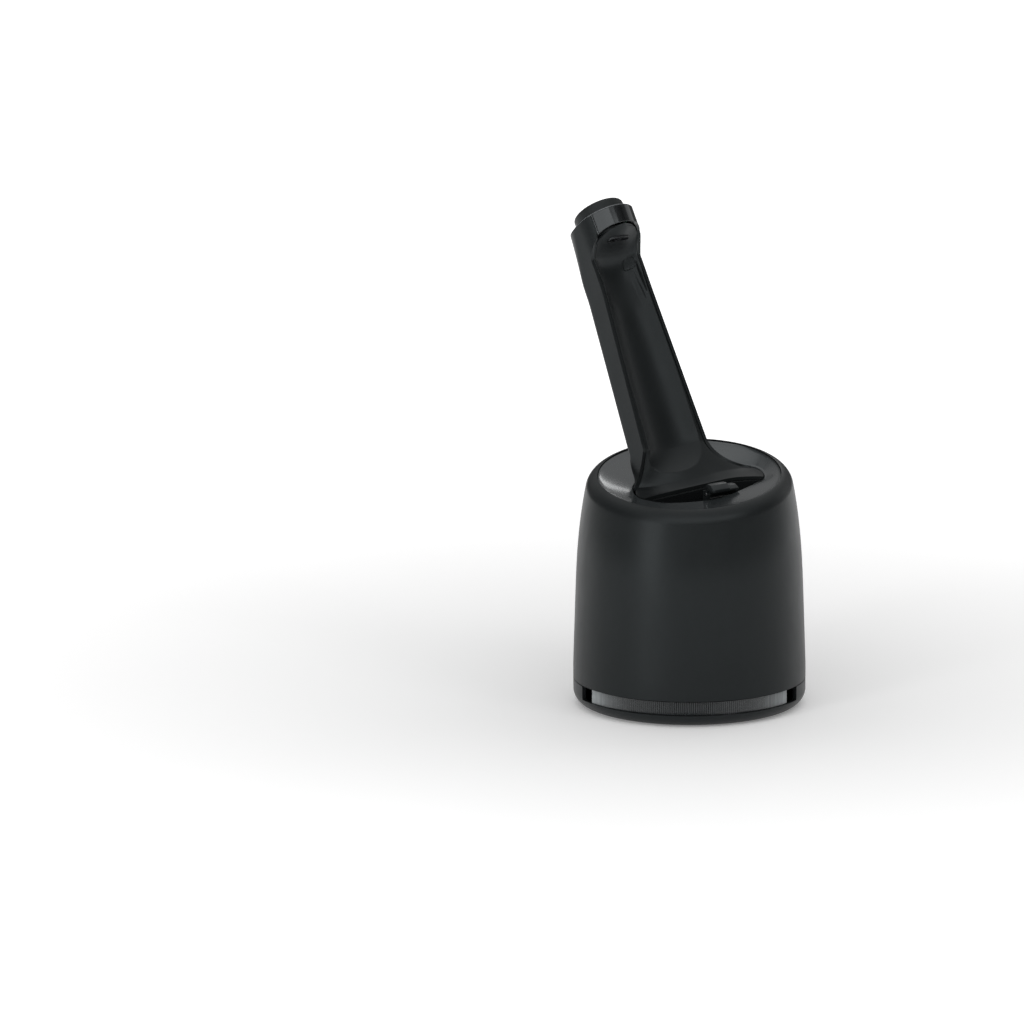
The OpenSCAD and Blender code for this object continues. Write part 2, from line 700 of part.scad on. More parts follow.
module release_button() {
    color("#303436") union() {
        intersection() {
            translate([-release_w / 2, button_inner_y + flange_t / 2, release_z - release_h / 2])
                cube([release_w, base_r, release_h]);
            cylinder(r = button_face_y - 0.1, h = 2 * release_z);
        }
        translate([-release_w / 2 - flange_margin, button_inner_y, release_z - release_h / 2 - flange_margin])
            cube([release_w + 2 * flange_margin, flange_t, release_h + 2 * flange_margin]);
    }
}

// ---- inner chassis, pump and electrics ----------------------------------

chassis_low_z = chassis_z - chassis_t;
chassis_r = side_r(chassis_z) - shell_t - fit_gap;
pump_x = -12;
pump_y = 17;
module at_pump() { rotate([0, 0, arm_turn]) translate([pump_x, pump_y, 0]) children(); }
hose_x = pump_x;
hose_y = 1;
hose_r = 2.8;
hose_bore_r = 1.8;
module at_hose() { rotate([0, 0, arm_turn]) translate([hose_x, hose_y, 0]) children(); }
pump_wall = 1.4;
pump_drop = 6;
pump_low_z = chassis_low_z - pump_drop;
board_x = 23;
board_y = 19;
board_l = 28;
board_w = 24;
board_t = 1.6;
standoff_h = 3;
standoff_r = 2;
plug_l = 13;
plug_w = 5;
plug_h = 5;
plug_x = board_x - board_l / 2 + 6 + plug_l / 2;
plug_y = board_y + board_w / 2 - 2 - plug_w / 2;
module at_standoffs() { for (x = [-1, 1], y = [-1, 1])
    translate([board_x + x * (board_l / 2 - 3), board_y + y * (board_w / 2 - 3), 0]) children(); }
pillar_r = 2.6;
pillar_ring_r = 38;
// Where the pillars stand, turned from the arm's right side
pillar_angles = [42, 138, 270];
pillar_mouth_r = 26;
hanger_t = 2.2;
hanger_l = 3.6;
hanger_y = button_inner_y - release_travel - fit_gap - hanger_l;

// Underside of the dish on the pillars' ring, without the slope of the top
pillar_top_z = mix(dish_edge_z, mouth_z, pow((dish_r - pillar_ring_r + pillar_r) / (dish_r - pillar_mouth_r), dish_power))
    - dish_t - fit_gap;
module slope_cut() {
    translate([0, 0, pillar_top_z]) rotate([0, 0, -top_turn]) rotate([top_tilt, 0, 0])
        translate([-base_r, -base_r, 0]) cube([2 * base_r, 2 * base_r, base_r]);
}

module inner_chassis() {
    color(inner_colour) difference() {
        union() {
            translate([0, 0, chassis_low_z]) cylinder(r = chassis_r, h = chassis_t);
            difference() {
                for (a = pillar_angles) rotate([0, 0, arm_turn + a])
                    translate([pillar_ring_r, 0, chassis_low_z + chassis_t / 2]) cylinder(r = pillar_r, h = base_r + shoulder_r, $fn = 40);
                slope_cut();
            }
            at_standoffs() translate([0, 0, chassis_z - 0.5]) cylinder(r = standoff_r, h = standoff_h + 0.5, $fn = 32);
            for (side = [-1, 1]) {
                translate([side * (slider_half_w + fit_gap + hanger_t / 2) - hanger_t / 2, hanger_y, slider_low_z - 2.5])
                    cube([hanger_t, hanger_l, chassis_low_z - slider_low_z + 3]);
                translate([side * (slider_half_w - 0.8) - 2.2, hanger_y, slider_low_z - 2.5])
                    cube([4.4, hanger_l, 2.2]);
            }
        }
        at_posts() translate([0, 0, chassis_low_z - 1]) cylinder(r = sleeve_r + run_gap, h = chassis_t + 2);
        at_drain() translate([0, 0, chassis_low_z - 1]) cylinder(r = drain_r + spout_wall + fit_gap, h = chassis_t + 2);
        at_hose() translate([0, 0, chassis_low_z - 1]) cylinder(r = hose_r + fit_gap, h = chassis_t + 2);
        at_pump() translate([0, 0, chassis_low_z - 1]) cylinder(r = shaft_r + run_gap, h = chassis_t + 2, $fn = 40);
        at_standoffs() translate([0, 0, chassis_z - 1]) cylinder(r = 0.8 + run_gap, h = standoff_h + 2, $fn = 24);
    }
}

module chassis_screws() {
    color(metal_colour) at_standoffs() {
        translate([0, 0, chassis_z + standoff_h + board_t]) cylinder(r = 1.7, h = 1.2, $fn = 32);
        translate([0, 0, chassis_z - 0.6]) cylinder(r = 0.8, h = standoff_h + board_t + 1.2, $fn = 24);
    }
}

module control_board() {
    low_z = chassis_z + standoff_h;
    color("#2f6b45") difference() {
        union() {
            translate([board_x - board_l / 2, board_y - board_w / 2, low_z]) cube([board_l, board_w, board_t]);
            translate([board_x - 5, board_y - 4, low_z + board_t / 2]) cube([9, 9, board_t / 2 + 1.4]);
            translate([plug_x - plug_l / 2, plug_y - plug_w / 2, low_z + board_t / 2])
                cube([plug_l, plug_w, board_t / 2 + plug_h]);
        }
        at_standoffs() translate([0, 0, low_z - 1]) cylinder(r = 0.8 + run_gap, h = board_t + 2, $fn = 24);
    }
}

module pump_motor() {
    boss_r = 3;
    color(metal_colour) at_pump() difference() {
        union() {
            translate([0, 0, chassis_z]) cylinder(r = motor_r, h = motor_h);
            translate([0, 0, chassis_z + motor_h - 0.5]) cylinder(r = boss_r, h = 2, $fn = 40);
        }
        translate([0, 0, chassis_z - 1]) cylinder(r = shaft_r + run_gap, h = motor_h - 1, $fn = 40);
    }
}

module pump_shaft() {
    color("#9fa3a6") at_pump() translate([0, 0, pump_low_z + pump_wall + 0.4])
        cylinder(r = shaft_r, h = chassis_z + motor_h - 3 - pump_low_z - pump_wall - 0.4, $fn = 40);
}

impeller_h = chassis_low_z - pump_low_z - pump_wall - 1;
impeller_vanes = 6;
module impeller() {
    color("#e2e0d8") at_pump() translate([0, 0, pump_low_z + pump_wall + 0.5]) difference() {
        union() {
            cylinder(r = impeller_r * 0.4, h = impeller_h, $fn = 40);
            cylinder(r = impeller_r, h = 0.9, $fn = 64);
            for (i = [0:impeller_vanes - 1]) rotate([0, 0, i * 360 / impeller_vanes])
                translate([impeller_r * 0.2, -0.4, 0]) cube([impeller_r * 0.76, 0.8, impeller_h]);
        }
        translate([0, 0, -1]) cylinder(r = shaft_r + eps, h = impeller_h + 2, $fn = 40);
    }
}

outlet_h = 4.2;
hose_wall = 0.6;
impeller_gap = 0.6;
outlet_floor = 0.8;
outlet_r = 0.9;
hose_seat = 1.6;
module pump_housing() {
    cavity_r = impeller_r + impeller_gap;
    height = chassis_low_z - pump_low_z;
    color(inner_colour) difference() {
        union() {
            at_pump() translate([0, 0, pump_low_z]) cylinder(r = cavity_r + pump_wall, h = height);
            rotate([0, 0, arm_turn])
                translate([pump_x - hose_r - hose_wall, hose_y - hose_r - hose_wall, chassis_low_z - outlet_h])
                    cube([2 * (hose_r + hose_wall), pump_y - hose_y - cavity_r + hose_r + hose_wall + pump_wall, outlet_h]);
        }
        at_pump() translate([0, 0, pump_low_z + pump_wall]) cylinder(r = cavity_r, h = height);
        at_pump() translate([0, 0, pump_low_z - 1]) cylinder(r = tube_r, h = height, $fn = 40);
        at_hose() translate([0, 0, chassis_low_z - outlet_h + outlet_floor])
            cylinder(r = hose_r + run_gap, h = height, $fn = 48);
        rotate([0, 0, arm_turn]) translate([pump_x, hose_y, chassis_low_z - outlet_h + outlet_floor + outlet_r + 0.1])
            rotate([-90, 0, 0]) cylinder(r = outlet_r, h = pump_y - hose_y - impeller_r, $fn = 32);
    }
}

module suction_tube() {
    low_z = cartridge_low_z + cartridge_wall + 4;
    color("#d8d6cf") at_pump() translate([0, 0, low_z]) difference() {
        cylinder(r = tube_r + 1.2, h = pump_low_z - low_z, $fn = 48);
        translate([0, 0, -1]) cylinder(r = tube_r, h = pump_low_z - low_z + 2, $fn = 48);
    }
}

hose_top_z = 106;
nozzle_r = 1.9;
module feed_hose() {
    low_z = chassis_low_z - hose_seat;
    color("#3f4548") at_hose() difference() {
        union() {
            translate([0, 0, low_z]) cylinder(r = hose_r, h = hose_top_z - low_z, $fn = 48);
            translate([0, 0, hose_top_z - 5]) rotate([90, 0, 0]) cylinder(r = nozzle_r, h = hose_y + bowl_back - 2.2, $fn = 40);
        }
        translate([0, 0, low_z - 1]) cylinder(r = hose_bore_r, h = hose_top_z - low_z - 1.5, $fn = 48);
    }
}

socket_face_y = side_r(socket_z) - 0.8;
module power_socket() {
    color("#17191a") difference() {
        translate([-socket_shell_w / 2 + 0.1, socket_face_y - socket_depth - socket_wall, socket_z - socket_shell_h / 2 + 0.1])
            cube([socket_shell_w - 0.2, socket_depth + socket_wall, socket_shell_h - 0.2]);
        translate([0, socket_face_y + 1, socket_z]) rotate([90, 0, 0]) {
            for (side = [-1, 1]) translate([side * (socket_w - socket_h) / 2, 0, 0])
                cylinder(r = socket_h / 2, h = socket_depth + 1, $fn = 48);
            translate([-(socket_w - socket_h) / 2, -socket_h / 2, 0]) cube([socket_w - socket_h, socket_h, socket_depth + 1]);
        }
        at_socket_pins() cylinder(r = 0.8 + run_gap, h = socket_depth * 3, center = true, $fn = 32);
    }
}
socket_pin_pitch = 4;
module at_socket_pins() { for (side = [-1, 1])
    translate([side * socket_pin_pitch / 2, socket_face_y - socket_depth, socket_z]) rotate([90, 0, 0]) children(); }

module socket_pins() {
    color(metal_colour) at_socket_pins() translate([0, 0, -socket_depth * 0.7])
        cylinder(r = 0.8, h = socket_depth * 0.7 + socket_wall + 0.8, $fn = 32);
}

// ---- arm -----------------------------------------------------------------

// A plate or shell between two equal grids of points
module shell_between(outer, inner) {
    m = len(outer);
    n = len(outer[0]);
    points = concat([for (r = outer) each r], [for (r = inner) each r]);
    q = m * n;
    faces = concat(
        [for (k = [0:m - 2], j = [0:n - 2]) let(a = k * n + j, b = a + n) each
            [[a, b, b + 1], [a, b + 1, a + 1], [q + a, q + b + 1, q + b], [q + a, q + a + 1, q + b + 1]]],
        [for (k = [0:m - 2]) let(a = k * n, b = a + n, c = a + n - 1, d = b + n - 1) each
            [[a, q + a, q + b], [a, q + b, b], [c, d, q + d], [c, q + d, q + c]]],
        [for (j = [0:n - 2]) let(e = (m - 1) * n + j) each
            [[j, j + 1, q + j + 1], [j, q + j + 1, q + j], [e, q + e, q + e + 1], [e, q + e + 1, e + 1]]]);
    polyhedron(points = points, faces = faces);
}

function arm_w(s) = mix(arm_w_foot, arm_w_top, s / arm_len);
function arm_place(x, r, s) = [x, arm_back + s * sin(arm_lean) + r * cos(arm_lean),
    arm_z + s * cos(arm_lean) - r * sin(arm_lean)];
function head_place(x, y, z) = [x, head_back + y * cos(head_lean) + z * sin(head_lean),
    head_z - y * sin(head_lean) + z * cos(head_lean)];
function head_radius(z) = z > -head_wide_at ? head_r - head_flare * z
    : mix(head_r + head_flare * head_wide_at, arm_w_top / 2 + head_neck_gain, (-z - head_wide_at) / (head_low - head_wide_at));
head_low = 26;
function neck_shift(z) = -neck_back * z / head_low;
head_neck_gain = 0.3;

outline_half = 24;
flat_share = 0.4;
side_share = 0.62;
head_side_share = 0.2;
function arm_d(s) = mix(arm_depth_foot, arm_depth, s / arm_len);
// One point of a back outline, j running from the right edge round the back: a round stretch that reaches
// forward by front, a side that is flat for a share of the depth, and a round back
function back_outline(j, half, depth, share, front) = let(
        f = 1 - abs(1 - j / outline_half),
        side = j <= outline_half ? 1 : -1,
        y = mix(-front, depth * share, f / flat_share),
        a = 90 * max(0, f - flat_share) / (1 - flat_share))
    f < flat_share ? [side * (y < 0 ? sqrt(half * half - y * y) : half), y]
    : [side * half * cos(a), depth * (share + (1 - share) * sin(a))];
function arm_outline(j, s, inset) = let(q = back_outline(j, arm_w(s) / 2 - inset, arm_d(s) - inset, side_share, 0))
    arm_place(q[0], q[1], s);
// How far the back shell reaches forward at a height of the head, along the round cut under the collar
function head_wrap(z) = let(d = arch_r * arch_r - pow(z + collar_h, 2))
    max(0, min(wrap, neck_shift(z) - arch_y - sqrt(max(0, d))));
function head_outline(j, z, inset) = let(
        share = mix(head_side_share, side_share, -z / head_low),
        q = back_outline(j, head_radius(z) - inset, arm_depth - inset, share, head_wrap(z)))
    head_place(q[0], q[1] + neck_shift(z), z);

tip_index = 3 * mouth_steps;
foot_sink = 1.4;
foot_stand = 0.2;
foot_curve = mouth_curve(fit_gap);
function foot_normal(i) = let(d = foot_curve[i + 1] - foot_curve[i - 1]) [-d[1], d[0]] / norm(d);
// One point of the foot's outline at the mouth, moved inwards by inset
function foot_outline(j, inset, drop) = let(i = tip_index + j, p = foot_curve[i] + inset * foot_normal(i))
    [p[0], p[1], mouth_z - drop + arm_rise(p)];

flare_steps = 5;
function flare_mix(a, b, t) = [mix(a[0], b[0], 1 - pow(1 - t, 2.2)), mix(a[1], b[1], t), mix(a[2], b[2], pow(t, 1.25))];
arm_steps = 4;
arch_lead = 1.9;
arch_y = -head_r - arch_lead;
collar_h = collar_front_h + arch_r;
wrap_steps = 4;
head_steps = concat([for (i = [0:wrap_steps]) mix(-head_low, -head_wide_at, i / wrap_steps)], [0]);

function back_ring(n, inset) = let(k = n - 1) [for (j = [0:2 * outline_half])
    k < 0 ? foot_outline(j, inset, foot_sink)
    : k <= flare_steps ? flare_mix(foot_outline(j, inset, -foot_stand), arm_outline(j, flare_len, inset), k / flare_steps)
    : k <= flare_steps + arm_steps
        ? arm_outline(j, mix(flare_len, arm_len, (k - flare_steps) / arm_steps), inset)
        : head_outline(j, head_steps[k - flare_steps - arm_steps - 1], inset)];
back_rings = flare_steps + arm_steps + len(head_steps) + 1;

module arm_back_shell() {
    color(body_colour) rotate([0, 0, arm_turn]) shell_between(
        [for (k = [0:back_rings]) back_ring(k, 0)],
        [for (k = [0:back_rings]) back_ring(k, arm_t)]);
}

// Front shell: s is the place along the arm, f runs across from -1 to 1
front_gap = 0.3;
trough_half = 15.2;
trough_end = 17;
trough_round = 20;
across_steps = 12;
front_low_drop = bowl_top_drop - 0.1;
function front_half(s) = arm_w(s) / 2 - arm_t - front_gap;
function across_list(half, trough) = concat([-half], [for (i = [0:across_steps]) trough * (2 * i / across_steps - 1)], [half]);
function trough_at(x, trough, s) = let(d = max(0, trough_end - s) / trough_round, u = x / trough)
    trough_depth * max(0, 1 - u * u - d * d);
foot_front_y = bowl_back - 1.4;
foot_side_y = 8.3;
foot_front_half = mouth_half_w - 4.6;

function front_foot(f, drop, inset) = let(
        p = [f * foot_front_half, -foot_front_y - foot_side_y * pow(abs(f), 2.6) + inset])
    [p[0], p[1], mouth_z - drop + arm_rise(p)];
function front_arm(x, trough, s, inset) = arm_place(x, trough_at(x, trough, s) + inset, s);
function front_head(x, trough, z, inset) = head_place(x, trough_at(x, trough, arm_len) + inset + neck_shift(z), z);
function front_ring(k, inset) = let(
        s = k <= flare_steps + 1 ? flare_len : mix(flare_len, arm_len, (k - flare_steps - 1) / arm_steps),
        head = k - flare_steps - arm_steps - 2,
        head_at = [head_steps[0], front_top_z],
        half = head < 0 ? front_half(s) : head_radius(head_at[head]) - arm_t - front_gap,
        trough = min(trough_half, half - rim_w),
        xs = across_list(half, trough))
    [for (x = xs) let(f = x / half)
        k == 0 ? front_foot(f, front_low_drop, inset)
        : k <= flare_steps + 1
            ? flare_mix(front_foot(f, 0, inset), front_arm(x, trough, s, inset), (k - 1) / flare_steps)
            : head < 0 ? front_arm(x, trough, s, inset) : front_head(x, trough, head_at[head], inset)];
front_rings = flare_steps + arm_steps + 3;
front_top_z = -collar_front_h - ceiling_t - 0.3;

module arm_front_shell() {
    color(body_colour) rotate([0, 0, arm_turn]) difference() {
        shell_between(
            [for (k = [0:front_rings]) front_ring(k, 0)],
            [for (k = [0:front_rings]) front_ring(k, arm_t)]);
        for (side = [-1, 1]) head_frame() translate([side * tab_x - tab_w / 2 - tab_gap, tab_face_y - 4, tab_z - tab_h / 2 - tab_gap])
            cube([tab_w + 2 * tab_gap, 2 * trough_depth + 3 * arm_t, tab_h + 2 * tab_gap]);
    }
}

// ---- head ----------------------------------------------------------------

module head_frame() { translate([0, head_back, head_z]) rotate([-head_lean, 0, 0]) children(); }
module at_head() { rotate([0, 0, arm_turn]) head_frame() children(); }

collar_wall = 1.8;
collar_gap = 0.1;
collar_over = 4;
neck_turn = atan(neck_back / head_low);
// A closed cone about the head's axis, set back towards its lower end like the arm's shells
module collar_cone(r_drop, top) {
    rotate([neck_turn, 0, 0]) rotate_extrude() polygon([
        [0, top], [head_radius(top) - r_drop, top], [head_radius(-head_wide_at) - r_drop, -head_wide_at],
        [head_radius(-collar_h) - r_drop, -collar_h], [0, -collar_h]]);
}
module head_collar() {
    color(gloss_colour) at_head() difference() {
        intersection() {
            collar_cone(0, collar_over);
            rotate([neck_turn, 0, 0]) translate([-2 * head_r, -2 * head_r - wrap - collar_gap, -2 * collar_h])
                cube([4 * head_r, 2 * head_r, 4 * collar_h]);
            translate([-2 * head_r, -2 * head_r, -2 * collar_h]) cube([4 * head_r, 4 * head_r, 2 * collar_h]);
        }
        collar_cone(collar_wall, 2 * collar_over);
        translate([-2 * head_r, arch_y, -collar_h]) rotate([0, 90, 0]) cylinder(r = arch_r, h = 4 * head_r);
    }
}

module collar_ring() {
    color("#565c5f") at_head() rotate_extrude() polygon([
        [button_r + 0.25, 0], [head_r, 0], [head_r, ring_h * 0.5], [head_r - ring_h * 0.6, ring_h], [button_r + 0.25, ring_h]]);
}

ceiling_r = head_radius(-collar_front_h) - max(arm_t, collar_wall) - fit_gap;
ceiling_shift = neck_shift(-collar_front_h - ceiling_t / 2);
ceiling_back = trough_depth + arm_t + 1.6;
board_post_r = 1.4;
board_post_x = 9;
button_board_z = -4.8;
button_board_t = 1;
button_board_r = button_r - 2.2;
switch_h = 1.2;
switch_w = 6;
module head_ceiling() {
    color("#2a2d2e") at_head() difference() {
        union() {
            intersection() {
                translate([0, ceiling_shift, -collar_front_h - ceiling_t]) cylinder(r = ceiling_r, h = ceiling_t);
                translate([-head_r, -head_r, -2 * collar_front_h]) cube([2 * head_r, head_r + ceiling_back, 2 * collar_front_h]);
            }
            for (side = [-1, 1]) translate([side * board_post_x, 0, -collar_front_h - ceiling_t / 2])
                cylinder(r = board_post_r, h = collar_front_h + ceiling_t / 2 + button_board_z, $fn = 32);
        }
        at_pins() translate([0, 0, -2 * collar_front_h]) cylinder(r = pin_r + run_gap, h = 3 * collar_front_h, $fn = 32);
    }
}

contact_y = -5;
module at_pins() { for (side = [-1, 1]) translate([side * pin_pitch / 2, contact_y, 0]) children(); }
contact_low_z = -collar_front_h - ceiling_t - contact_h;
module contact_block() {
    color("#1a1c1d") at_head() difference() {
        translate([0, contact_y, contact_low_z]) {
            for (side = [-1, 1]) translate([side * (contact_l - contact_w) / 2, 0, 0]) cylinder(r = contact_w / 2, h = contact_h, $fn = 48);
            translate([-(contact_l - contact_w) / 2, -contact_w / 2, 0]) cube([contact_l - contact_w, contact_w, contact_h]);
        }
        at_pins() translate([0, 0, contact_low_z - 1]) cylinder(r = pin_r + run_gap, h = contact_h + 2, $fn = 32);
    }
}

pin_flange_r = pin_r + 0.7;
pin_proud = pin_travel + 0.2;
module contact_pin(side) {
    color("#c9a860") at_head() translate([side * pin_pitch / 2, contact_y, 0]) {
        translate([0, 0, contact_low_z - pin_proud])
            cylinder(r = pin_r, h = contact_h + ceiling_t + pin_proud + 1, $fn = 32);
        translate([0, 0, -collar_front_h + 0.05]) cylinder(r = pin_flange_r, h = 0.8, $fn = 32);
    }
}

module button_board() {
    color("#2f6b45") at_head() {
        translate([0, 0, button_board_z]) cylinder(r = button_board_r, h = button_board_t);
        translate([-switch_w / 2, -switch_w / 2, button_board_z + button_board_t]) cube([switch_w, switch_w, switch_h]);
    }
}

button_skirt_r = button_r + 0.9;
module start_button() {
    top_z = ring_h + button_h;
    plunger_low_z = button_board_z + button_board_t + switch_h + button_travel + 0.2;
    wall = 1.6;
    color(body_colour) at_head() {
        rotate_extrude() polygon([
            [0, top_z], [button_r - 1.2, top_z], [button_r - 0.35, top_z - 0.35], [button_r, top_z - 1.2],
            [button_r, -0.3], [button_skirt_r, -0.3], [button_skirt_r, -1.4], [button_r - wall, -1.4],
            [button_r - wall, top_z - wall], [2, top_z - wall], [2, plunger_low_z], [0, plunger_low_z]]);
    }
}

tab_x = 10.2;
tab_z = -22;
tab_gap = 0.3;
tab_face_y = 0.6 + neck_shift(tab_z);
tab_flange_t = 1.2;
tab_margin = 0.8;
tab_trough = min(trough_half, head_radius(tab_z) - arm_t - front_gap - rim_w);
tab_flange_y = trough_depth * (1 - pow((tab_x - tab_w / 2 - tab_margin) / tab_trough, 2)) + arm_t + fit_gap
    + neck_shift(tab_z - tab_h / 2 - tab_margin);
module side_tab(side) {
    color("#34383a") at_head() {
        translate([side * tab_x - tab_w / 2, tab_face_y, tab_z - tab_h / 2])
            cube([tab_w, tab_flange_y - tab_face_y + tab_flange_t / 2, tab_h]);
        translate([side * tab_x - tab_w / 2 - tab_margin, tab_flange_y, tab_z - tab_h / 2 - tab_margin])
            cube([tab_w + 2 * tab_margin, tab_flange_t, tab_h + 2 * tab_margin]);
    }
}

// Two leads from the board in the head, down inside the arm, to the control board
lead_r = 0.9;
lead_shift = 2.2;
lead_depth = 11;
lead_foot_x = 6;
lead_foot_z = mouth_z - 5;
module rod(a, b, r) {
    d = b - a;
    translate(a) rotate([0, acos(d[2] / norm(d)), atan2(d[1], d[0])]) cylinder(r = r, h = norm(d), $fn = 24);
}
module arm_leads() {
    foot = [lead_foot_x, lead_depth, lead_foot_z];
    plug = [plug_x * cos(arm_turn) + plug_y * sin(arm_turn), -plug_x * sin(arm_turn) + plug_y * cos(arm_turn),
        chassis_z + standoff_h + board_t + plug_h + 2 * fit_gap];
    color("#8a3b34") rotate([0, 0, arm_turn]) for (side = [-1, 1]) {
        shift = [side * lead_shift, 0, 0];
        top = head_place(0, 8.5, button_board_z - fit_gap) + shift;
        bend = arm_place(0, lead_depth, arm_len - lead_foot_x) + shift;
        low = foot + shift;
        end = plug + shift;
        rod(top, bend, lead_r);
        rod(bend, low, lead_r);
        rod(low, end, lead_r);
        for (p = [bend, low]) translate(p) sphere(r = lead_r * 1.2, $fn = 24);
    }
}

base_pan();
rubber_feet();
cartridge_tank();
cartridge_lid();
cartridge_filter();
guide_posts();
post_screws();
lift_springs();
latch_catch();
outer_housing();
dish_ring();
cleaning_bowl();
drain_grid();
drain_spout();
bowl_clip();
clip_bracket();
clip_pin();
inner_chassis();
chassis_screws();
guide_sleeves();
pump_motor();
pump_housing();
pump_shaft();
impeller();
suction_tube();
feed_hose();
control_board();
power_socket();
socket_pins();
release_button();
latch_slider();
arm_back_shell();
arm_front_shell();
head_collar();
collar_ring();
head_ceiling();
contact_block();
contact_pin(-1);  // contact_pin_left
contact_pin(1);  // contact_pin_right
side_tab(-1);  // side_tab_left
side_tab(1);  // side_tab_right
start_button();
button_board();
arm_leads();
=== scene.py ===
"""Shaver cleaning station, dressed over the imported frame.

Sizes are in millimetres and finished meshes in metres. +Z is up and -Y is the
side with the cartridge window. The arm and what it carries are shaped in the
arm's own axes, x to its right and y to its back, and turned about Z last.
"""
import json
import logging
import math
from collections.abc import Callable, Sequence
from dataclasses import dataclass, field
from enum import Enum

import bmesh
import bpy
from mathutils import Matrix, Vector


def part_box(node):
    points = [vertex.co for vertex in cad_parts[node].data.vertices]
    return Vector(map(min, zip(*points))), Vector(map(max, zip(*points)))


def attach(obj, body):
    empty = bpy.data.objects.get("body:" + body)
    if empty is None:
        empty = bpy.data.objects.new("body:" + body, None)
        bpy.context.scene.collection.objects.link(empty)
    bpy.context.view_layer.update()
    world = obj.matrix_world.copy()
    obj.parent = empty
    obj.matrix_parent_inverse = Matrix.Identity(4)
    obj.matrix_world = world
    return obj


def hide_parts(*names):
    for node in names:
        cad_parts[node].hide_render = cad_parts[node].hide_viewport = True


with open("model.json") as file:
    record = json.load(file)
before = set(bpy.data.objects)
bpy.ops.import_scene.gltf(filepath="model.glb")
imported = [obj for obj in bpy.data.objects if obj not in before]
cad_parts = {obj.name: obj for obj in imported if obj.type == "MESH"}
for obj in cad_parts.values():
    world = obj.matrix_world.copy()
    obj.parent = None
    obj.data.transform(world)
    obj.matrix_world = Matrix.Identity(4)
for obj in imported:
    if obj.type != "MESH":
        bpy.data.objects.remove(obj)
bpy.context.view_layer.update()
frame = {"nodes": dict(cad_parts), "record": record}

logging.basicConfig(level=logging.INFO, format="%(message)s")
LOG = logging.getLogger("station")

MM = 0.001
Colour = tuple[float, float, float]
Flat = tuple[float, float]
Point = Sequence[float]
Place = Callable[[float, float], Point]


# ---- small sums -------------------------------------------------------------


def mix(a: float, b: float, t: float) -> float:
    """Gives the number a share t of the way from a to b."""
    return a + (b - a) * t


def ease(t: float) -> float:
    """Eases a share, held between 0 and 1, in and out."""
    held = min(max(t, 0.0), 1.0)
    return held * held * (3 - 2 * held)


def sine(degrees: float) -> float:
    """Gives the sine of an angle in degrees."""
    return math.sin(math.radians(degrees))


def cosine(degrees: float) -> float:
    """Gives the cosine of an angle in degrees."""
    return math.cos(math.radians(degrees))


def tangent(degrees: float) -> float:
    """Gives the tangent of an angle in degrees."""
    return math.tan(math.radians(degrees))


def loop_curve(points: Sequence[Flat], steps: int) -> list[Flat]:
    """Draws a closed smooth curve through a loop of points.

    Args:
        points: The loop's points.
        steps: How many points each span gets.

    Returns:
        The curve's points, in order.
    """
    curve: list[Flat] = []
    count = len(points)
    for i in range(count):
        a, b, c, d = (points[(i + k) % count] for k in (-1, 0, 1, 2))
        for step in range(steps):
            t = step / steps
            curve.append(tuple(
                0.5 * (2 * b[n] + (c[n] - a[n]) * t + (2 * a[n] - 5 * b[n] + 4 * c[n] - d[n]) * t * t
                       + (3 * b[n] - a[n] - 3 * c[n] + d[n]) * t ** 3)
                for n in (0, 1)))
    return curve


def eased_rows(rows: list[list[Point]], spans: Sequence[tuple[int, int]]) -> None:
    """Redraws the rows between two rows so that every column runs smoothly from one to the other.

    Args:
        rows: The rows, changed in place.
        spans: For every column, the rows where its smooth stretch begins and ends, with one row before and after.
    """
    for column, (first, last) in enumerate(spans):
        start, end = Vector(rows[first][column]), Vector(rows[last][column])
        reach = (end - start).length
        away = (start - Vector(rows[first - 1][column])).normalized() * reach
        into = (Vector(rows[last + 1][column]) - end).normalized() * reach
        for row in range(first + 1, last):
            t = (row - first) / (last - first)
            rows[row][column] = (start * (2 * t ** 3 - 3 * t * t + 1) + away * (t ** 3 - 2 * t * t + t)
                                 + end * (3 * t * t - 2 * t ** 3) + into * (t ** 3 - t * t))


def point_along(points: Sequence[Point], t: float) -> Vector:
    """Gives the point a share t of the way along a smooth curve through points spaced evenly."""
    spans = len(points) - 1
    i = min(int(t * spans), spans - 1)
    local = t * spans - i
    a, b, c, d = (Vector(points[min(max(i + k, 0), spans)]) for k in (-1, 0, 1, 2))
    return 0.5 * (2 * b + (c - a) * local + (2 * a - 5 * b + 4 * c - d) * local ** 2
                  + (3 * b - a - 3 * c + d) * local ** 3)


# ---- finishes ---------------------------------------------------------------


class Wire:
    """A socket of a material, to which Python's operators add Math nodes."""

    def __init__(self, maker: "NodeMaker", socket: bpy.types.NodeSocket) -> None:
        """Keeps the socket and the maker of its tree."""
        self.maker = maker
        self.socket = socket

    def _sum(self, operation: str, first: object, second: object) -> "Wire":
        """Adds one Math node for two values or wires."""
        return self.maker.node("ShaderNodeMath", {"operation": operation}, {0: first, 1: second})

    def __add__(self, other: object) -> "Wire":
        """Adds."""
        return self._sum("ADD", self, other)

    def __sub__(self, other: object) -> "Wire":
        """Takes the other away."""
        return self._sum("SUBTRACT", self, other)

    def __rsub__(self, other: object) -> "Wire":
        """Is taken away from the other."""
        return self._sum("SUBTRACT", other, self)

    def __mul__(self, other: object) -> "Wire":
        """Multiplies."""
        return self._sum("MULTIPLY", self, other)

    def __pow__(self, other: object) -> "Wire":
        """Raises to a power."""
        return self._sum("POWER", self, other)


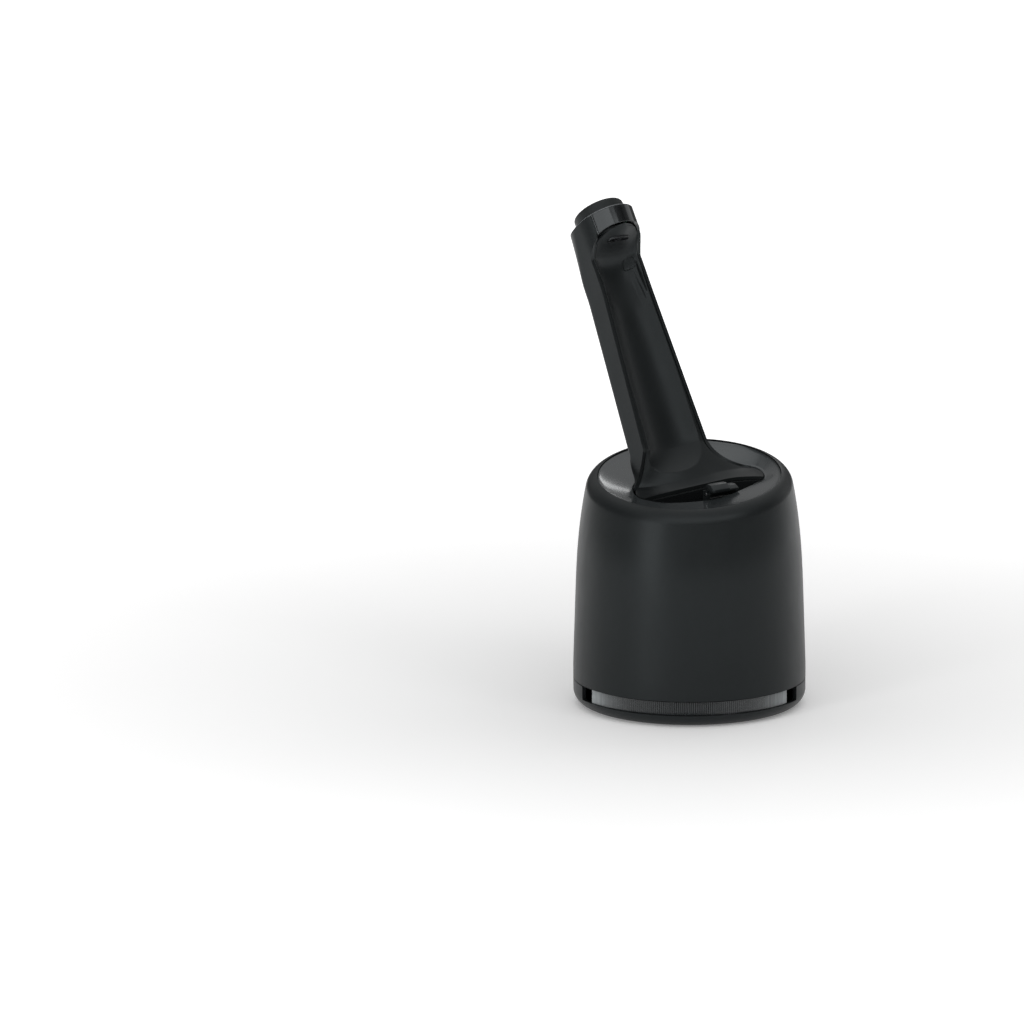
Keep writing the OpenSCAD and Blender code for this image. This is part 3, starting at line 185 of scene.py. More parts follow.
class NodeMaker:
    """Makes the nodes of one material or world."""

    def __init__(self, owner: bpy.types.ID) -> None:
        """Empties the node tree of a new material or world."""
        self.owner = owner
        owner.use_nodes = True
        self.tree = owner.node_tree
        self.tree.nodes.clear()

    def node(self, kind: str, settings: dict | None = None, sockets: dict | None = None, out: object = 0) -> Wire:
        """Adds one node.

        Args:
            kind: The node's type.
            settings: What is set on the node first; stops fill a ramp.
            sockets: Values or wires, by the input's name or number.
            out: Name or number of the output to give back.

        Returns:
            The wire of that output.
        """
        made = self.tree.nodes.new(kind)
        for key, value in (settings or {}).items():
            if key == "stops":
                self._fill_ramp(made.color_ramp, value)
            else:
                setattr(made, key, value)
        for key, value in (sockets or {}).items():
            if isinstance(value, Wire):
                self.tree.links.new(value.socket, made.inputs[key])
            else:
                made.inputs[key].default_value = value
        return Wire(self, made.outputs[out])

    @staticmethod
    def _fill_ramp(ramp: bpy.types.ColorRamp, stops: Sequence[tuple[float, Sequence[float]]]) -> None:
        """Sets a ramp's stops, each a place and a colour."""
        while len(ramp.elements) > 1:
            ramp.elements.remove(ramp.elements[-1])
        ramp.elements[0].position, ramp.elements[0].color = stops[0]
        for place, colour in stops[1:]:
            ramp.elements.new(place).color = colour

    def place(self) -> Wire:
        """Gives the place on the piece, in metres."""
        return self.node("ShaderNodeTexCoord", out="Object")

    def noise(self, size: float, detail: float = 2.0, stretch: Point = (1, 1, 1), depth: float = 0.5) -> Wire:
        """Gives soft noise.

        Args:
            size: Size of one blotch in millimetres.
            detail: How many finer layers it has.
            stretch: How much shorter the pattern is along each axis.
            depth: How strong the finer layers are.

        Returns:
            The noise's value, about 0 to 1.
        """
        laid = self.node("ShaderNodeMapping", None, {"Vector": self.place(), "Scale": stretch})
        return self.node("ShaderNodeTexNoise", None, {
            "Vector": laid, "Scale": 1 / (size * MM), "Detail": detail, "Roughness": depth}, "Fac")

    def blend(self, share: object, first: object, second: object) -> Wire:
        """Mixes two colours by a share."""
        settings = {"data_type": "RGBA", "blend_type": "MIX", "clamp_factor": True}
        return self.node("ShaderNodeMix", settings, {0: share, 6: first, 7: second}, 2)

    def limits(self, value: Wire, low: float, high: float) -> Wire:
        """Maps the stretch from low to high onto 0 to 1."""
        return self.node("ShaderNodeMapRange", {"clamp": True}, {0: value, 1: low, 2: high, 3: 0.0, 4: 1.0})

    def axis(self, name: str) -> Wire:
        """Gives one coordinate of the place, in metres."""
        return self.node("ShaderNodeSeparateXYZ", None, {0: self.place()}, name)

    def bump(self, height: Wire, relief: float, strength: float) -> Wire:
        """Gives a normal bent by a height, relief being its depth in millimetres."""
        return self.node("ShaderNodeBump", None, {"Height": height, "Distance": relief * MM, "Strength": strength})

    def close(self, **sockets: object) -> bpy.types.Material:
        """Adds the shader and the output, an underscore in a socket's name standing for a space."""
        named = {key.replace("_", " "): value for key, value in sockets.items()}
        self.end(self.node("ShaderNodeBsdfPrincipled", None, named), "ShaderNodeOutputMaterial")
        return self.owner

    def end(self, shader: Wire, kind: str) -> None:
        """Links the shader to an output of the kind given."""
        made = self.tree.nodes.new(kind)
        self.tree.links.new(shader.socket, made.inputs["Surface"])


def opaque(colour: Colour) -> tuple[float, float, float, float]:
    """Gives a colour with full alpha."""
    return (*colour, 1.0)


def scaled(colour: Colour, share: float) -> tuple[float, float, float, float]:
    """Gives a colour times a share, with full alpha."""
    return (colour[0] * share, colour[1] * share, colour[2] * share, 1.0)


@dataclass(frozen=True)
class Moulded:
    """Moulded plastic or rubber with an eroded grain, faint clouds and finger haze."""

    name: str
    colour: Colour
    roughness: float = 0.42
    grain: float = 0.35
    relief: float = 0.012
    haze: float = 0.07
    clouds: float = 0.14
    specular: float = 0.5
    coat: float = 0.0
    coat_roughness: float = 0.1
    tint: Colour = (0.92, 1.0, 1.03)
    flow: Point = (1.0, 1.0, 0.35)

    def make(self) -> bpy.types.Material:
        """Builds the material."""
        maker = NodeMaker(bpy.data.materials.new(self.name))
        cloud = maker.noise(26.0, 3.0, self.flow)
        smear = maker.noise(9.0, 4.0, self.flow, 0.62)
        grain = maker.noise(self.grain, 2.0)
        speck = maker.limits(maker.noise(self.grain * 3.2, 1.0), 0.62, 0.74)
        tone = maker.blend(cloud, scaled(self.colour, 1 - self.clouds), scaled(self.colour, 1 + self.clouds))
        tone = maker.blend(speck * 0.12, tone, scaled(self.colour, 1.9))
        rough = (smear - 0.5) * (2 * self.haze) + (grain - 0.5) * 0.06 + self.roughness
        return maker.close(
            Base_Color=tone, Roughness=rough, Normal=maker.bump(grain, self.relief, 0.8),
            Specular_IOR_Level=self.specular, Specular_Tint=opaque(self.tint),
            Coat_Weight=self.coat, Coat_Roughness=self.coat_roughness)


@dataclass(frozen=True)
class Metal:
    """Turned or drawn metal with fine marks along one direction."""

    name: str
    colour: Colour
    roughness: float = 0.28
    marks: Point = (1.0, 1.0, 14.0)
    relief: float = 0.006
    tarnish: float = 0.18

    def make(self) -> bpy.types.Material:
        """Builds the material."""
        maker = NodeMaker(bpy.data.materials.new(self.name))
        line = maker.noise(0.9, 4.0, self.marks, 0.7)
        stain = maker.noise(7.0, 3.0)
        tone = maker.blend(stain, scaled(self.colour, 1 - self.tarnish), opaque(self.colour))
        rough = (line - 0.5) * 0.16 + (stain - 0.5) * 0.1 + self.roughness
        return maker.close(
            Base_Color=tone, Roughness=rough, Metallic=1.0, Normal=maker.bump(line, self.relief, 0.6))


@dataclass(frozen=True)
class SmokyBand:
    """Smoky clear plastic of the cartridge, with painted highlights at the ends of its ribbed band, where its colour
    turns pale in vertical streaks for the side lights' reflections on the ribs.
    """

    name: str
    colour: Colour
    # pale is the colour of the painted highlight at the band's ends
    pale: Colour
    end_x: float
    roughness: float = 0.2

    def make(self) -> bpy.types.Material:
        """Builds the material."""
        maker = NodeMaker(bpy.data.materials.new(self.name))
        across = maker.node("ShaderNodeMath", {"operation": "ABSOLUTE"}, {0: maker.axis("X")})
        # painted highlight: the colour pales towards both ends of the band, broken into vertical streaks, for side
        # lights reflected in the ribs; the streaks also bump the ribs
        ends = maker.limits(across, self.end_x * 0.55 * MM, self.end_x * MM) ** 2.4
        rib_streaks_and_glint = maker.noise(1.7, 3.0, (1.0, 1.0, 0.06), 0.7)
        cloud = maker.noise(11.0, 2.0)
        tone = maker.blend(ends * (rib_streaks_and_glint * 0.9 + 0.25), scaled(self.colour, 0.9), opaque(self.pale))
        rough = (cloud - 0.5) * 0.1 + self.roughness
        return maker.close(
            Base_Color=tone, Roughness=rough, Normal=maker.bump(rib_streaks_and_glint, 0.03, 0.7), Coat_Weight=0.5,
            Coat_Roughness=0.08)


@dataclass(frozen=True)
class Felt:
    """Pressed fibre of the filter pad."""

    name: str
    colour: Colour

    def make(self) -> bpy.types.Material:
        """Builds the material."""
        maker = NodeMaker(bpy.data.materials.new(self.name))
        fibre = maker.noise(0.5, 6.0, (1, 1, 3), 0.75)
        tuft = maker.noise(3.4, 3.0)
        tone = maker.blend(fibre, scaled(self.colour, 0.72), scaled(self.colour, 1.1))
        tone = maker.blend(tuft * 0.4, tone, scaled(self.colour, 0.85))
        return maker.close(
            Base_Color=tone, Roughness=(fibre - 0.5) * 0.1 + 0.9, Normal=maker.bump(fibre, 0.25, 0.9),
            Sheen_Weight=0.4)


@dataclass(frozen=True)
class Board:
    """Varnished circuit board with copper tracks and pads under the varnish."""

    name: str
    colour: Colour
    track: Colour

    def make(self) -> bpy.types.Material:
        """Builds the material."""
        maker = NodeMaker(bpy.data.materials.new(self.name))
        settings = {"offset": 0.5, "squash": 0.7, "squash_frequency": 3}
        lines = maker.node("ShaderNodeTexBrick", settings, {
            "Vector": maker.place(), "Scale": 1 / (2.6 * MM), "Mortar Size": 0.05, "Brick Width": 0.9,
            "Row Height": 0.35, "Color1": (0, 0, 0, 1), "Color2": (0, 0, 0, 1), "Mortar": (1, 1, 1, 1)}, "Fac")
        cells = maker.node("ShaderNodeTexVoronoi", None,
                           {"Vector": maker.place(), "Scale": 1 / (2.4 * MM)}, "Distance")
        pads = 1 - maker.limits(cells, 0.16, 0.2)
        cloud = maker.noise(6.0, 2.0)
        ground = maker.blend(cloud, scaled(self.colour, 0.8), scaled(self.colour, 1.2))
        tone = maker.blend(lines * 0.5, ground, scaled(self.colour, 2.2))
        tone = maker.blend(pads, tone, opaque(self.track))
        return maker.close(
            Base_Color=tone, Roughness=(cloud - 0.5) * 0.1 + 0.32, Metallic=pads,
            Normal=maker.bump(lines + pads, 0.04, 0.6), Coat_Weight=0.35)


class Finish(Enum):
    """The finishes on the station, each named for what carries it."""

    HOUSING = Moulded("satin_housing", (0.0090, 0.0104, 0.0108), 0.40, specular=0.24)
    ARM = Moulded("satin_arm", (0.0092, 0.0106, 0.0110), 0.38, specular=0.24, flow=(1.0, 1.0, 0.2))
    PAN = Moulded("satin_pan", (0.0085, 0.0098, 0.0102), 0.38, specular=0.24, clouds=0.1)
    DISH = Moulded("polished_dish", (0.030, 0.034, 0.036), 0.20, relief=0.004, haze=0.05, coat=0.3)
    BOWL = Moulded("bowl_plastic", (0.009, 0.010, 0.0105), 0.26, relief=0.004, haze=0.08, specular=0.35)
    CLIP = Moulded("clip_plastic", (0.012, 0.014, 0.0145), 0.30, relief=0.006, specular=0.35)
    COLLAR = Moulded("polished_collar", (0.007, 0.0075, 0.008), 0.10, relief=0.002, haze=0.03, coat=0.3)
    BUTTON = Moulded("matt_button", (0.012, 0.0135, 0.0135), 0.5, grain=0.28, relief=0.018, specular=0.3)
    SOCKET = Moulded("black_socket", (0.010, 0.010, 0.011), 0.40)
    CEILING = Moulded("niche_plastic", (0.007, 0.008, 0.008), 0.45, specular=0.24)
    TAB = Moulded("tab_plastic", (0.009, 0.0105, 0.011), 0.40, specular=0.26)
    FOOT = Moulded("foot_rubber", (0.012, 0.012, 0.013), 0.85, grain=0.6, relief=0.05)
    LID = Moulded("lid_plastic", (0.12, 0.15, 0.16), 0.36)
    INNER = Moulded("chassis_plastic", (0.25, 0.26, 0.27), 0.46)
    BEARING = Moulded("bearing_plastic", (0.66, 0.65, 0.60), 0.38, clouds=0.06)
    HOSE = Moulded("hose_rubber", (0.050, 0.055, 0.060), 0.55, flow=(1, 1, 0.2))
    LEAD = Moulded("lead_jacket", (0.30, 0.05, 0.03), 0.45)
    RING = Metal("dark_bright_ring", (0.19, 0.20, 0.21), 0.22, (1, 1, 1), 0.003)
    STEEL = Metal("plain_steel", (0.50, 0.51, 0.52))
    MOTOR = Metal("zinc_can", (0.42, 0.43, 0.44), 0.36)
    GILT = Metal("dark_contact", (0.05, 0.042, 0.03), 0.30, (1, 1, 1), 0.002)
    # the smoky band's second, pale colour is a painted highlight laid on its ends
    SMOKY = SmokyBand("smoky_band_painted_glint", (0.030, 0.034, 0.036), (0.42, 0.45, 0.46), 50.0)
    FELT = Felt("filter_felt", (0.58, 0.56, 0.48))
    BOARD = Board("circuit_board", (0.020, 0.12, 0.050), (0.70, 0.50, 0.28))


class Finisher:
    """Makes each finish once."""

    def __init__(self) -> None:
        """Starts with no finish made."""
        self.made: dict[Finish, bpy.types.Material] = {}

    def get(self, finish: Finish) -> bpy.types.Material:
        """Gives a finish's material, making it the first time."""
        if finish not in self.made:
            self.made[finish] = finish.value.make()
        return self.made[finish]


FINISHER = Finisher()


# ---- meshes -----------------------------------------------------------------


class Blank:
    """A mesh being shaped with bmesh's operators, in millimetres."""

    def __init__(self) -> None:
        """Starts empty."""
        self.bm = bmesh.new()

    def sheet(self, across: int, along: int, place: Place) -> "Blank":
        """Adds a grid and lays it out.

        Args:
            across: Cells along u.
            along: Cells along v.
            place: Gives the point for u and v, both from 0 to 1.

        Returns:
            This blank.
        """
        made = bmesh.ops.create_grid(self.bm, x_segments=across, y_segments=along, size=0.5)
        for vert in made["verts"]:
            vert.co = Vector(place(vert.co.x + 0.5, vert.co.y + 0.5))
        return self

    def loft(self, rings: Sequence[Sequence[Point]], round_rings: bool = True, round_ends: bool = False) -> "Blank":
        """Adds a grid over rings of points, each ring and the row of rings closed where asked."""
        count, rows = len(rings[0]), len(rings)
        across = count if round_rings else count - 1
        along = rows if round_ends else rows - 1

        def place(u: float, v: float) -> Point:
            """Looks the point up in the rings."""
            return rings[round(v * along) % rows][round(u * across) % count]

        self.sheet(across, along, place)
        return self.weld() if round_rings or round_ends else self

    def turned(self, outline: Sequence[Flat], steps: int) -> "Blank":
        """Spins a closed outline, its points given as radius and height, once round Z."""
        verts = [self.bm.verts.new((r, 0.0, z)) for r, z in outline]
        edges = [self.bm.edges.new(pair) for pair in zip(verts, verts[1:] + verts[:1])]
        bmesh.ops.spin(self.bm, geom=verts + edges, cent=(0, 0, 0), axis=(0, 0, 1), angle=math.tau,
                       steps=steps, use_merge=True)
        return self.weld().outward()

    def drawn(self, outline: Sequence[Flat], length: float, frame_of: Matrix) -> "Blank":
        """Draws a closed outline out into a bar.

        Args:
            outline: Points in the plane of the first two axes.
            length: How far it is drawn along the third.
            frame_of: Where the bar lies.

        Returns:
            This blank.
        """
        verts = [self.bm.verts.new(frame_of @ Vector((x, y, 0.0))) for x, y in outline]
        return self.pulled([self.bm.faces.new(verts)], frame_of.to_3x3() @ Vector((0, 0, length)))

    def pulled(self, faces: list[bmesh.types.BMFace], shift: Point) -> "Blank":
        """Draws faces out into a closed shape."""
        made = bmesh.ops.extrude_face_region(self.bm, geom=faces, use_keep_orig=True)
        moved = [item for item in made["geom"] if isinstance(item, bmesh.types.BMVert)]
        bmesh.ops.translate(self.bm, verts=moved, vec=shift)
        return self.outward()

    def box(self, low: Point, high: Point) -> "Blank":
        """Adds a box between two corners."""
        middle = Vector([(a + b) / 2 for a, b in zip(low, high)])
        size = Matrix.Diagonal([b - a for a, b in zip(low, high)]).to_4x4()
        bmesh.ops.create_cube(self.bm, size=1.0, matrix=Matrix.Translation(middle) @ size)
        return self

    def cap(self) -> "Blank":
        """Closes every open edge loop."""
        bmesh.ops.holes_fill(self.bm, edges=[edge for edge in self.bm.edges if edge.is_boundary], sides=0)
        return self

    def weld(self, gap: float = 0.0005) -> "Blank":
        """Joins points that lie together."""
        bmesh.ops.remove_doubles(self.bm, verts=self.bm.verts, dist=gap)
        return self

    def outward(self) -> "Blank":
        """Turns a closed shape's faces outwards."""
        bmesh.ops.recalc_face_normals(self.bm, faces=self.bm.faces)
        return self

    def facing(self, outside: Point) -> "Blank":
        """Turns an open sheet so that its faces look along a direction on the whole."""
        self.bm.normal_update()
        way = Vector(outside)
        if sum(face.normal.dot(way) * face.calc_area() for face in self.bm.faces) < 0:
            bmesh.ops.reverse_faces(self.bm, faces=self.bm.faces)
        return self

    def spreading(self, centre: Point) -> "Blank":
        """Turns an open sheet so that its faces look away from a point on the whole."""
        self.bm.normal_update()
        middle = Vector(centre)
        if sum(face.normal.dot(face.calc_center_median() - middle) for face in self.bm.faces) < 0:
            bmesh.ops.reverse_faces(self.bm, faces=self.bm.faces)
        return self

    def bent(self, bend: Callable[[Vector], Point]) -> "Blank":
        """Moves every point to where a function puts it."""
        for vert in self.bm.verts:
            vert.co = Vector(bend(vert.co))
        return self

    def moved(self, matrix: Matrix) -> "Blank":
        """Moves the whole shape."""
        bmesh.ops.transform(self.bm, matrix=matrix, verts=self.bm.verts)
        return self

    def rounded(self, width: float, segments: int, angle: float = 30.0) -> "Blank":
        """Rounds the edges that are sharper than an angle."""
        self.bm.normal_update()
        limit = math.radians(angle)
        edges = [edge for edge in self.bm.edges if edge.is_manifold and edge.calc_face_angle(0.0) > limit]
        bmesh.ops.bevel(self.bm, geom=edges, offset=width, offset_type="OFFSET", segments=segments, profile=0.5,
                        affect="EDGES", material=-1, clamp_overlap=True)
        return self

    def joined(self, other: "Blank") -> "Blank":
        """Takes in another blank's mesh."""
        spare = bpy.data.meshes.new("spare")
        other.bm.to_mesh(spare)
        self.bm.from_mesh(spare)
        bpy.data.meshes.remove(spare)
        return self

    def cut(self, cutter: "Blank", way: str = "DIFFERENCE") -> "Blank":
        """Cuts another closed blank's shape away, or with INTERSECT keeps only what lies in it."""
        shown = [self._shown(blank) for blank in (self, cutter)]
        knife = shown[0].modifiers.new("cut", "BOOLEAN")
        knife.operation, knife.solver, knife.object = way, "EXACT", shown[1]
        return self._taken(shown).weld()

    def thickened(self, wall: float) -> "Blank":
        """Gives a sheet a wall behind its faces."""
        shown = [self._shown(self)]
        solid = shown[0].modifiers.new("wall", "SOLIDIFY")
        solid.thickness, solid.offset, solid.use_even_offset = wall, -1.0, False
        return self._taken(shown)

    def copied(self) -> "Blank":
        """Gives a copy of this blank."""
        return Blank().joined(self)

    def _taken(self, shown: Sequence[bpy.types.Object]) -> "Blank":
        """Takes over the first object's mesh with its modifiers, and removes the objects."""
        bpy.context.view_layer.update()
        graph = bpy.context.evaluated_depsgraph_get()
        result = bpy.data.meshes.new_from_object(shown[0].evaluated_get(graph))
        self.bm.clear()
        self.bm.from_mesh(result)
        bpy.data.meshes.remove(result)
        for obj in shown:
            mesh = obj.data
            bpy.data.objects.remove(obj)
            bpy.data.meshes.remove(mesh)
        return self

    @staticmethod
    def _shown(blank: "Blank") -> bpy.types.Object:
        """Puts a blank into the scene for a moment."""
        mesh = bpy.data.meshes.new("spare")
        blank.bm.to_mesh(mesh)
        obj = bpy.data.objects.new("spare", mesh)
        bpy.context.scene.collection.objects.link(obj)
        return obj

    @classmethod
    def of_node(cls, node: str) -> "Blank":
        """Copies a CAD node's mesh, its loose triangles joined and its flat faces made whole."""
        blank = cls()
        blank.bm.from_mesh(frame["nodes"][node].data)
        bmesh.ops.transform(blank.bm, matrix=Matrix.Scale(1 / MM, 4), verts=blank.bm.verts)
        blank.weld(0.002)
        bmesh.ops.dissolve_limit(blank.bm, angle_limit=math.radians(0.4), verts=blank.bm.verts,
                                 edges=blank.bm.edges, delimit={"NORMAL"})
        return blank


@dataclass(frozen=True)
class Dress:
    """How a blank becomes a piece: its wall, its edges and its shading, in millimetres and degrees."""

    wall: float = 0.0
    edge: float = 0.0
    edge_steps: int = 2
    edge_angle: float = 38.0
    sharp: float = 34.0


class Station:
    """Turns blanks into pieces and keeps count of them."""

    def __init__(self) -> None:
        """Reads which body and slot each CAD node has."""
        self.body_of = {n: b for b, nodes in frame["record"]["behaviour"]["bodies"].items() for n in nodes}
        self.slot_of = {part["node"]: part["material_slot"] for part in frame["record"]["subparts"]}
        self.dressed: set[str] = set()

    def piece(self, name: str, blank: Blank, finish: Finish, node: str, dress: Dress = Dress()) -> None:
        """Makes a piece that stands for a CAD node.

        Args:
            name: The piece's name.
            blank: Its shape.
            finish: Its finish.
            node: The CAD node that it replaces.
            dress: Its wall, edges and shading.
        """
        mesh = bpy.data.meshes.new(name)
        bmesh.ops.transform(blank.bm, matrix=Matrix.Scale(MM, 4), verts=blank.bm.verts)
        blank.bm.to_mesh(mesh)
        blank.bm.free()
        mesh.polygons.foreach_set("use_smooth", [True] * len(mesh.polygons))
        mesh.set_sharp_from_angle(angle=math.radians(dress.sharp))
        mesh.materials.append(FINISHER.get(finish))
        obj = bpy.data.objects.new(name, mesh)
        bpy.context.scene.collection.objects.link(obj)
        if dress.wall:
            wall = obj.modifiers.new("wall", "SOLIDIFY")
            wall.thickness, wall.offset, wall.use_even_offset = dress.wall * MM, -1.0, True
        if dress.edge:
            edge = obj.modifiers.new("edge", "BEVEL")
            edge.width, edge.segments = dress.edge * MM, dress.edge_steps
            edge.limit_method, edge.angle_limit = "ANGLE", math.radians(dress.edge_angle)
            edge.harden_normals = True
        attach(obj, self.body_of[node])
        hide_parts(node)
        self.dressed.add(node)
        LOG.info("piece %s: %d faces, rides on %s", name, len(mesh.polygons), self.body_of[node])

    def refine(self, node: str, finish: Finish, edge: float) -> None:
        """Replaces a CAD node by its own shape with softened edges."""
        self.piece(f"{node}_piece", Blank.of_node(node), finish, node, Dress(edge=edge, sharp=32.0))

    def coat(self, node: str, finish: Finish) -> None:
        """Gives a CAD node that stays its finish."""
        obj = frame["nodes"][node]
        material = FINISHER.get(finish)
        if not obj.material_slots:
            obj.data.materials.append(material)
        for slot in obj.material_slots:
            slot.material = material
        self.dressed.add(node)
        LOG.info("node %s keeps its shape", node)


# ---- housing ----------------------------------------------------------------


@dataclass
class Housing:
    """The round outer housing with its sloped shoulder."""

    base_r: float = 62.4
    low_z: float = 14.6
    taper: float = 0.035
    taper_from_z: float = 22.0
    draw_in: float = 3.9
    draw_from_z: float = 60.0
    draw_span: float = 60.0
    draw_power: float = 2.66
    shoulder_r: float = 7.9
    shoulder_z: float = 117.0
    shoulder_start: float = 11.0
    shoulder_end: float = 80.0
    wall: float = 2.2
    rim_depth: float = 4.0
    tilt: float = 11.4
    tilt_turn: float = 4.0
    tilt_from_z: float = 74.0
    side_steps: int = 40
    shoulder_steps: int = 18
    turns: int = 256
    release_w: float = 17.0
    release_h: float = 11.0
    release_z: float = 41.0
    socket_w: float = 11.8
    socket_h: float = 9.4
    socket_z: float = 25.0
    opening_gap: float = 0.3

    def side_r(self, z: float) -> float:
        """Gives the side's radius at a height."""
        return (self.base_r - self.taper * max(0.0, z - self.taper_from_z)
                - self.draw_in * (max(0.0, z - self.draw_from_z) / self.draw_span) ** self.draw_power)

    def __post_init__(self) -> None:
        """Works out where the shoulder begins and ends."""
        self.start_z = self.shoulder_z + self.shoulder_r * sine(self.shoulder_start)
        self.centre_r = self.side_r(self.start_z) - self.shoulder_r * cosine(self.shoulder_start)
        self.rim_r = self.centre_r + self.shoulder_r * cosine(self.shoulder_end)
        self.rim_z = self.shoulder_z + self.shoulder_r * sine(self.shoulder_end)

    def rise(self, x: float, y: float) -> float:
        """Gives the rise of the sloped top at a place in the part's axes."""
        return (x * sine(self.tilt_turn) + y * cosine(self.tilt_turn)) * tangent(self.tilt)

    def sloped(self, point: Vector) -> Point:
        """Shears a point of the straight shell by its share of the slope."""
        share = ease((point.z - self.tilt_from_z) / (self.shoulder_z - self.tilt_from_z))
        return point.x, point.y, point.z + self.rise(point.x, point.y) * share

    def outline(self) -> list[Flat]:
        """Gives the wall's closed outline, outside first."""
        side = [mix(self.low_z, self.start_z, i / self.side_steps) for i in range(self.side_steps + 1)]
        bow = [mix(self.shoulder_start, self.shoulder_end, i / self.shoulder_steps)
               for i in range(1, self.shoulder_steps + 1)]

        def arc(r: float, angles: Sequence[float]) -> list[Flat]:
            """Gives points of the shoulder's rounding."""
            return [(self.centre_r + r * cosine(a), self.shoulder_z + r * sine(a)) for a in angles]

        outer = [(self.side_r(z), z) for z in side] + arc(self.shoulder_r, bow)
        inner = arc(self.shoulder_r - self.wall, bow[-2::-1]) + [(self.side_r(z) - self.wall, z) for z in side[::-1]]
        return outer + [(self.rim_r, self.rim_z - self.rim_depth)] + inner

    def opening(self, width: float, height: float, z: float) -> Blank:
        """Gives the cutter for an opening in the back of the side."""
        r = self.side_r(z)
        low = (-width / 2, r - 3 * self.wall, z - height / 2)
        return Blank().box(low, (width / 2, r + 2 * self.wall, z + height / 2))

    def build(self, station: Station) -> None:
        """Makes the housing."""
        shell = Blank().turned(self.outline(), self.turns).bent(self.sloped)
        margin = 2 * self.opening_gap
        shell.cut(self.opening(self.release_w + margin, self.release_h + margin, self.release_z))
        shell.cut(self.opening(self.socket_w, self.socket_h, self.socket_z))
        station.piece("housing_shell", shell, Finish.HOUSING, "outer_housing",
                      Dress(edge=0.35, edge_steps=3, edge_angle=45))


# ---- arm's axes -------------------------------------------------------------


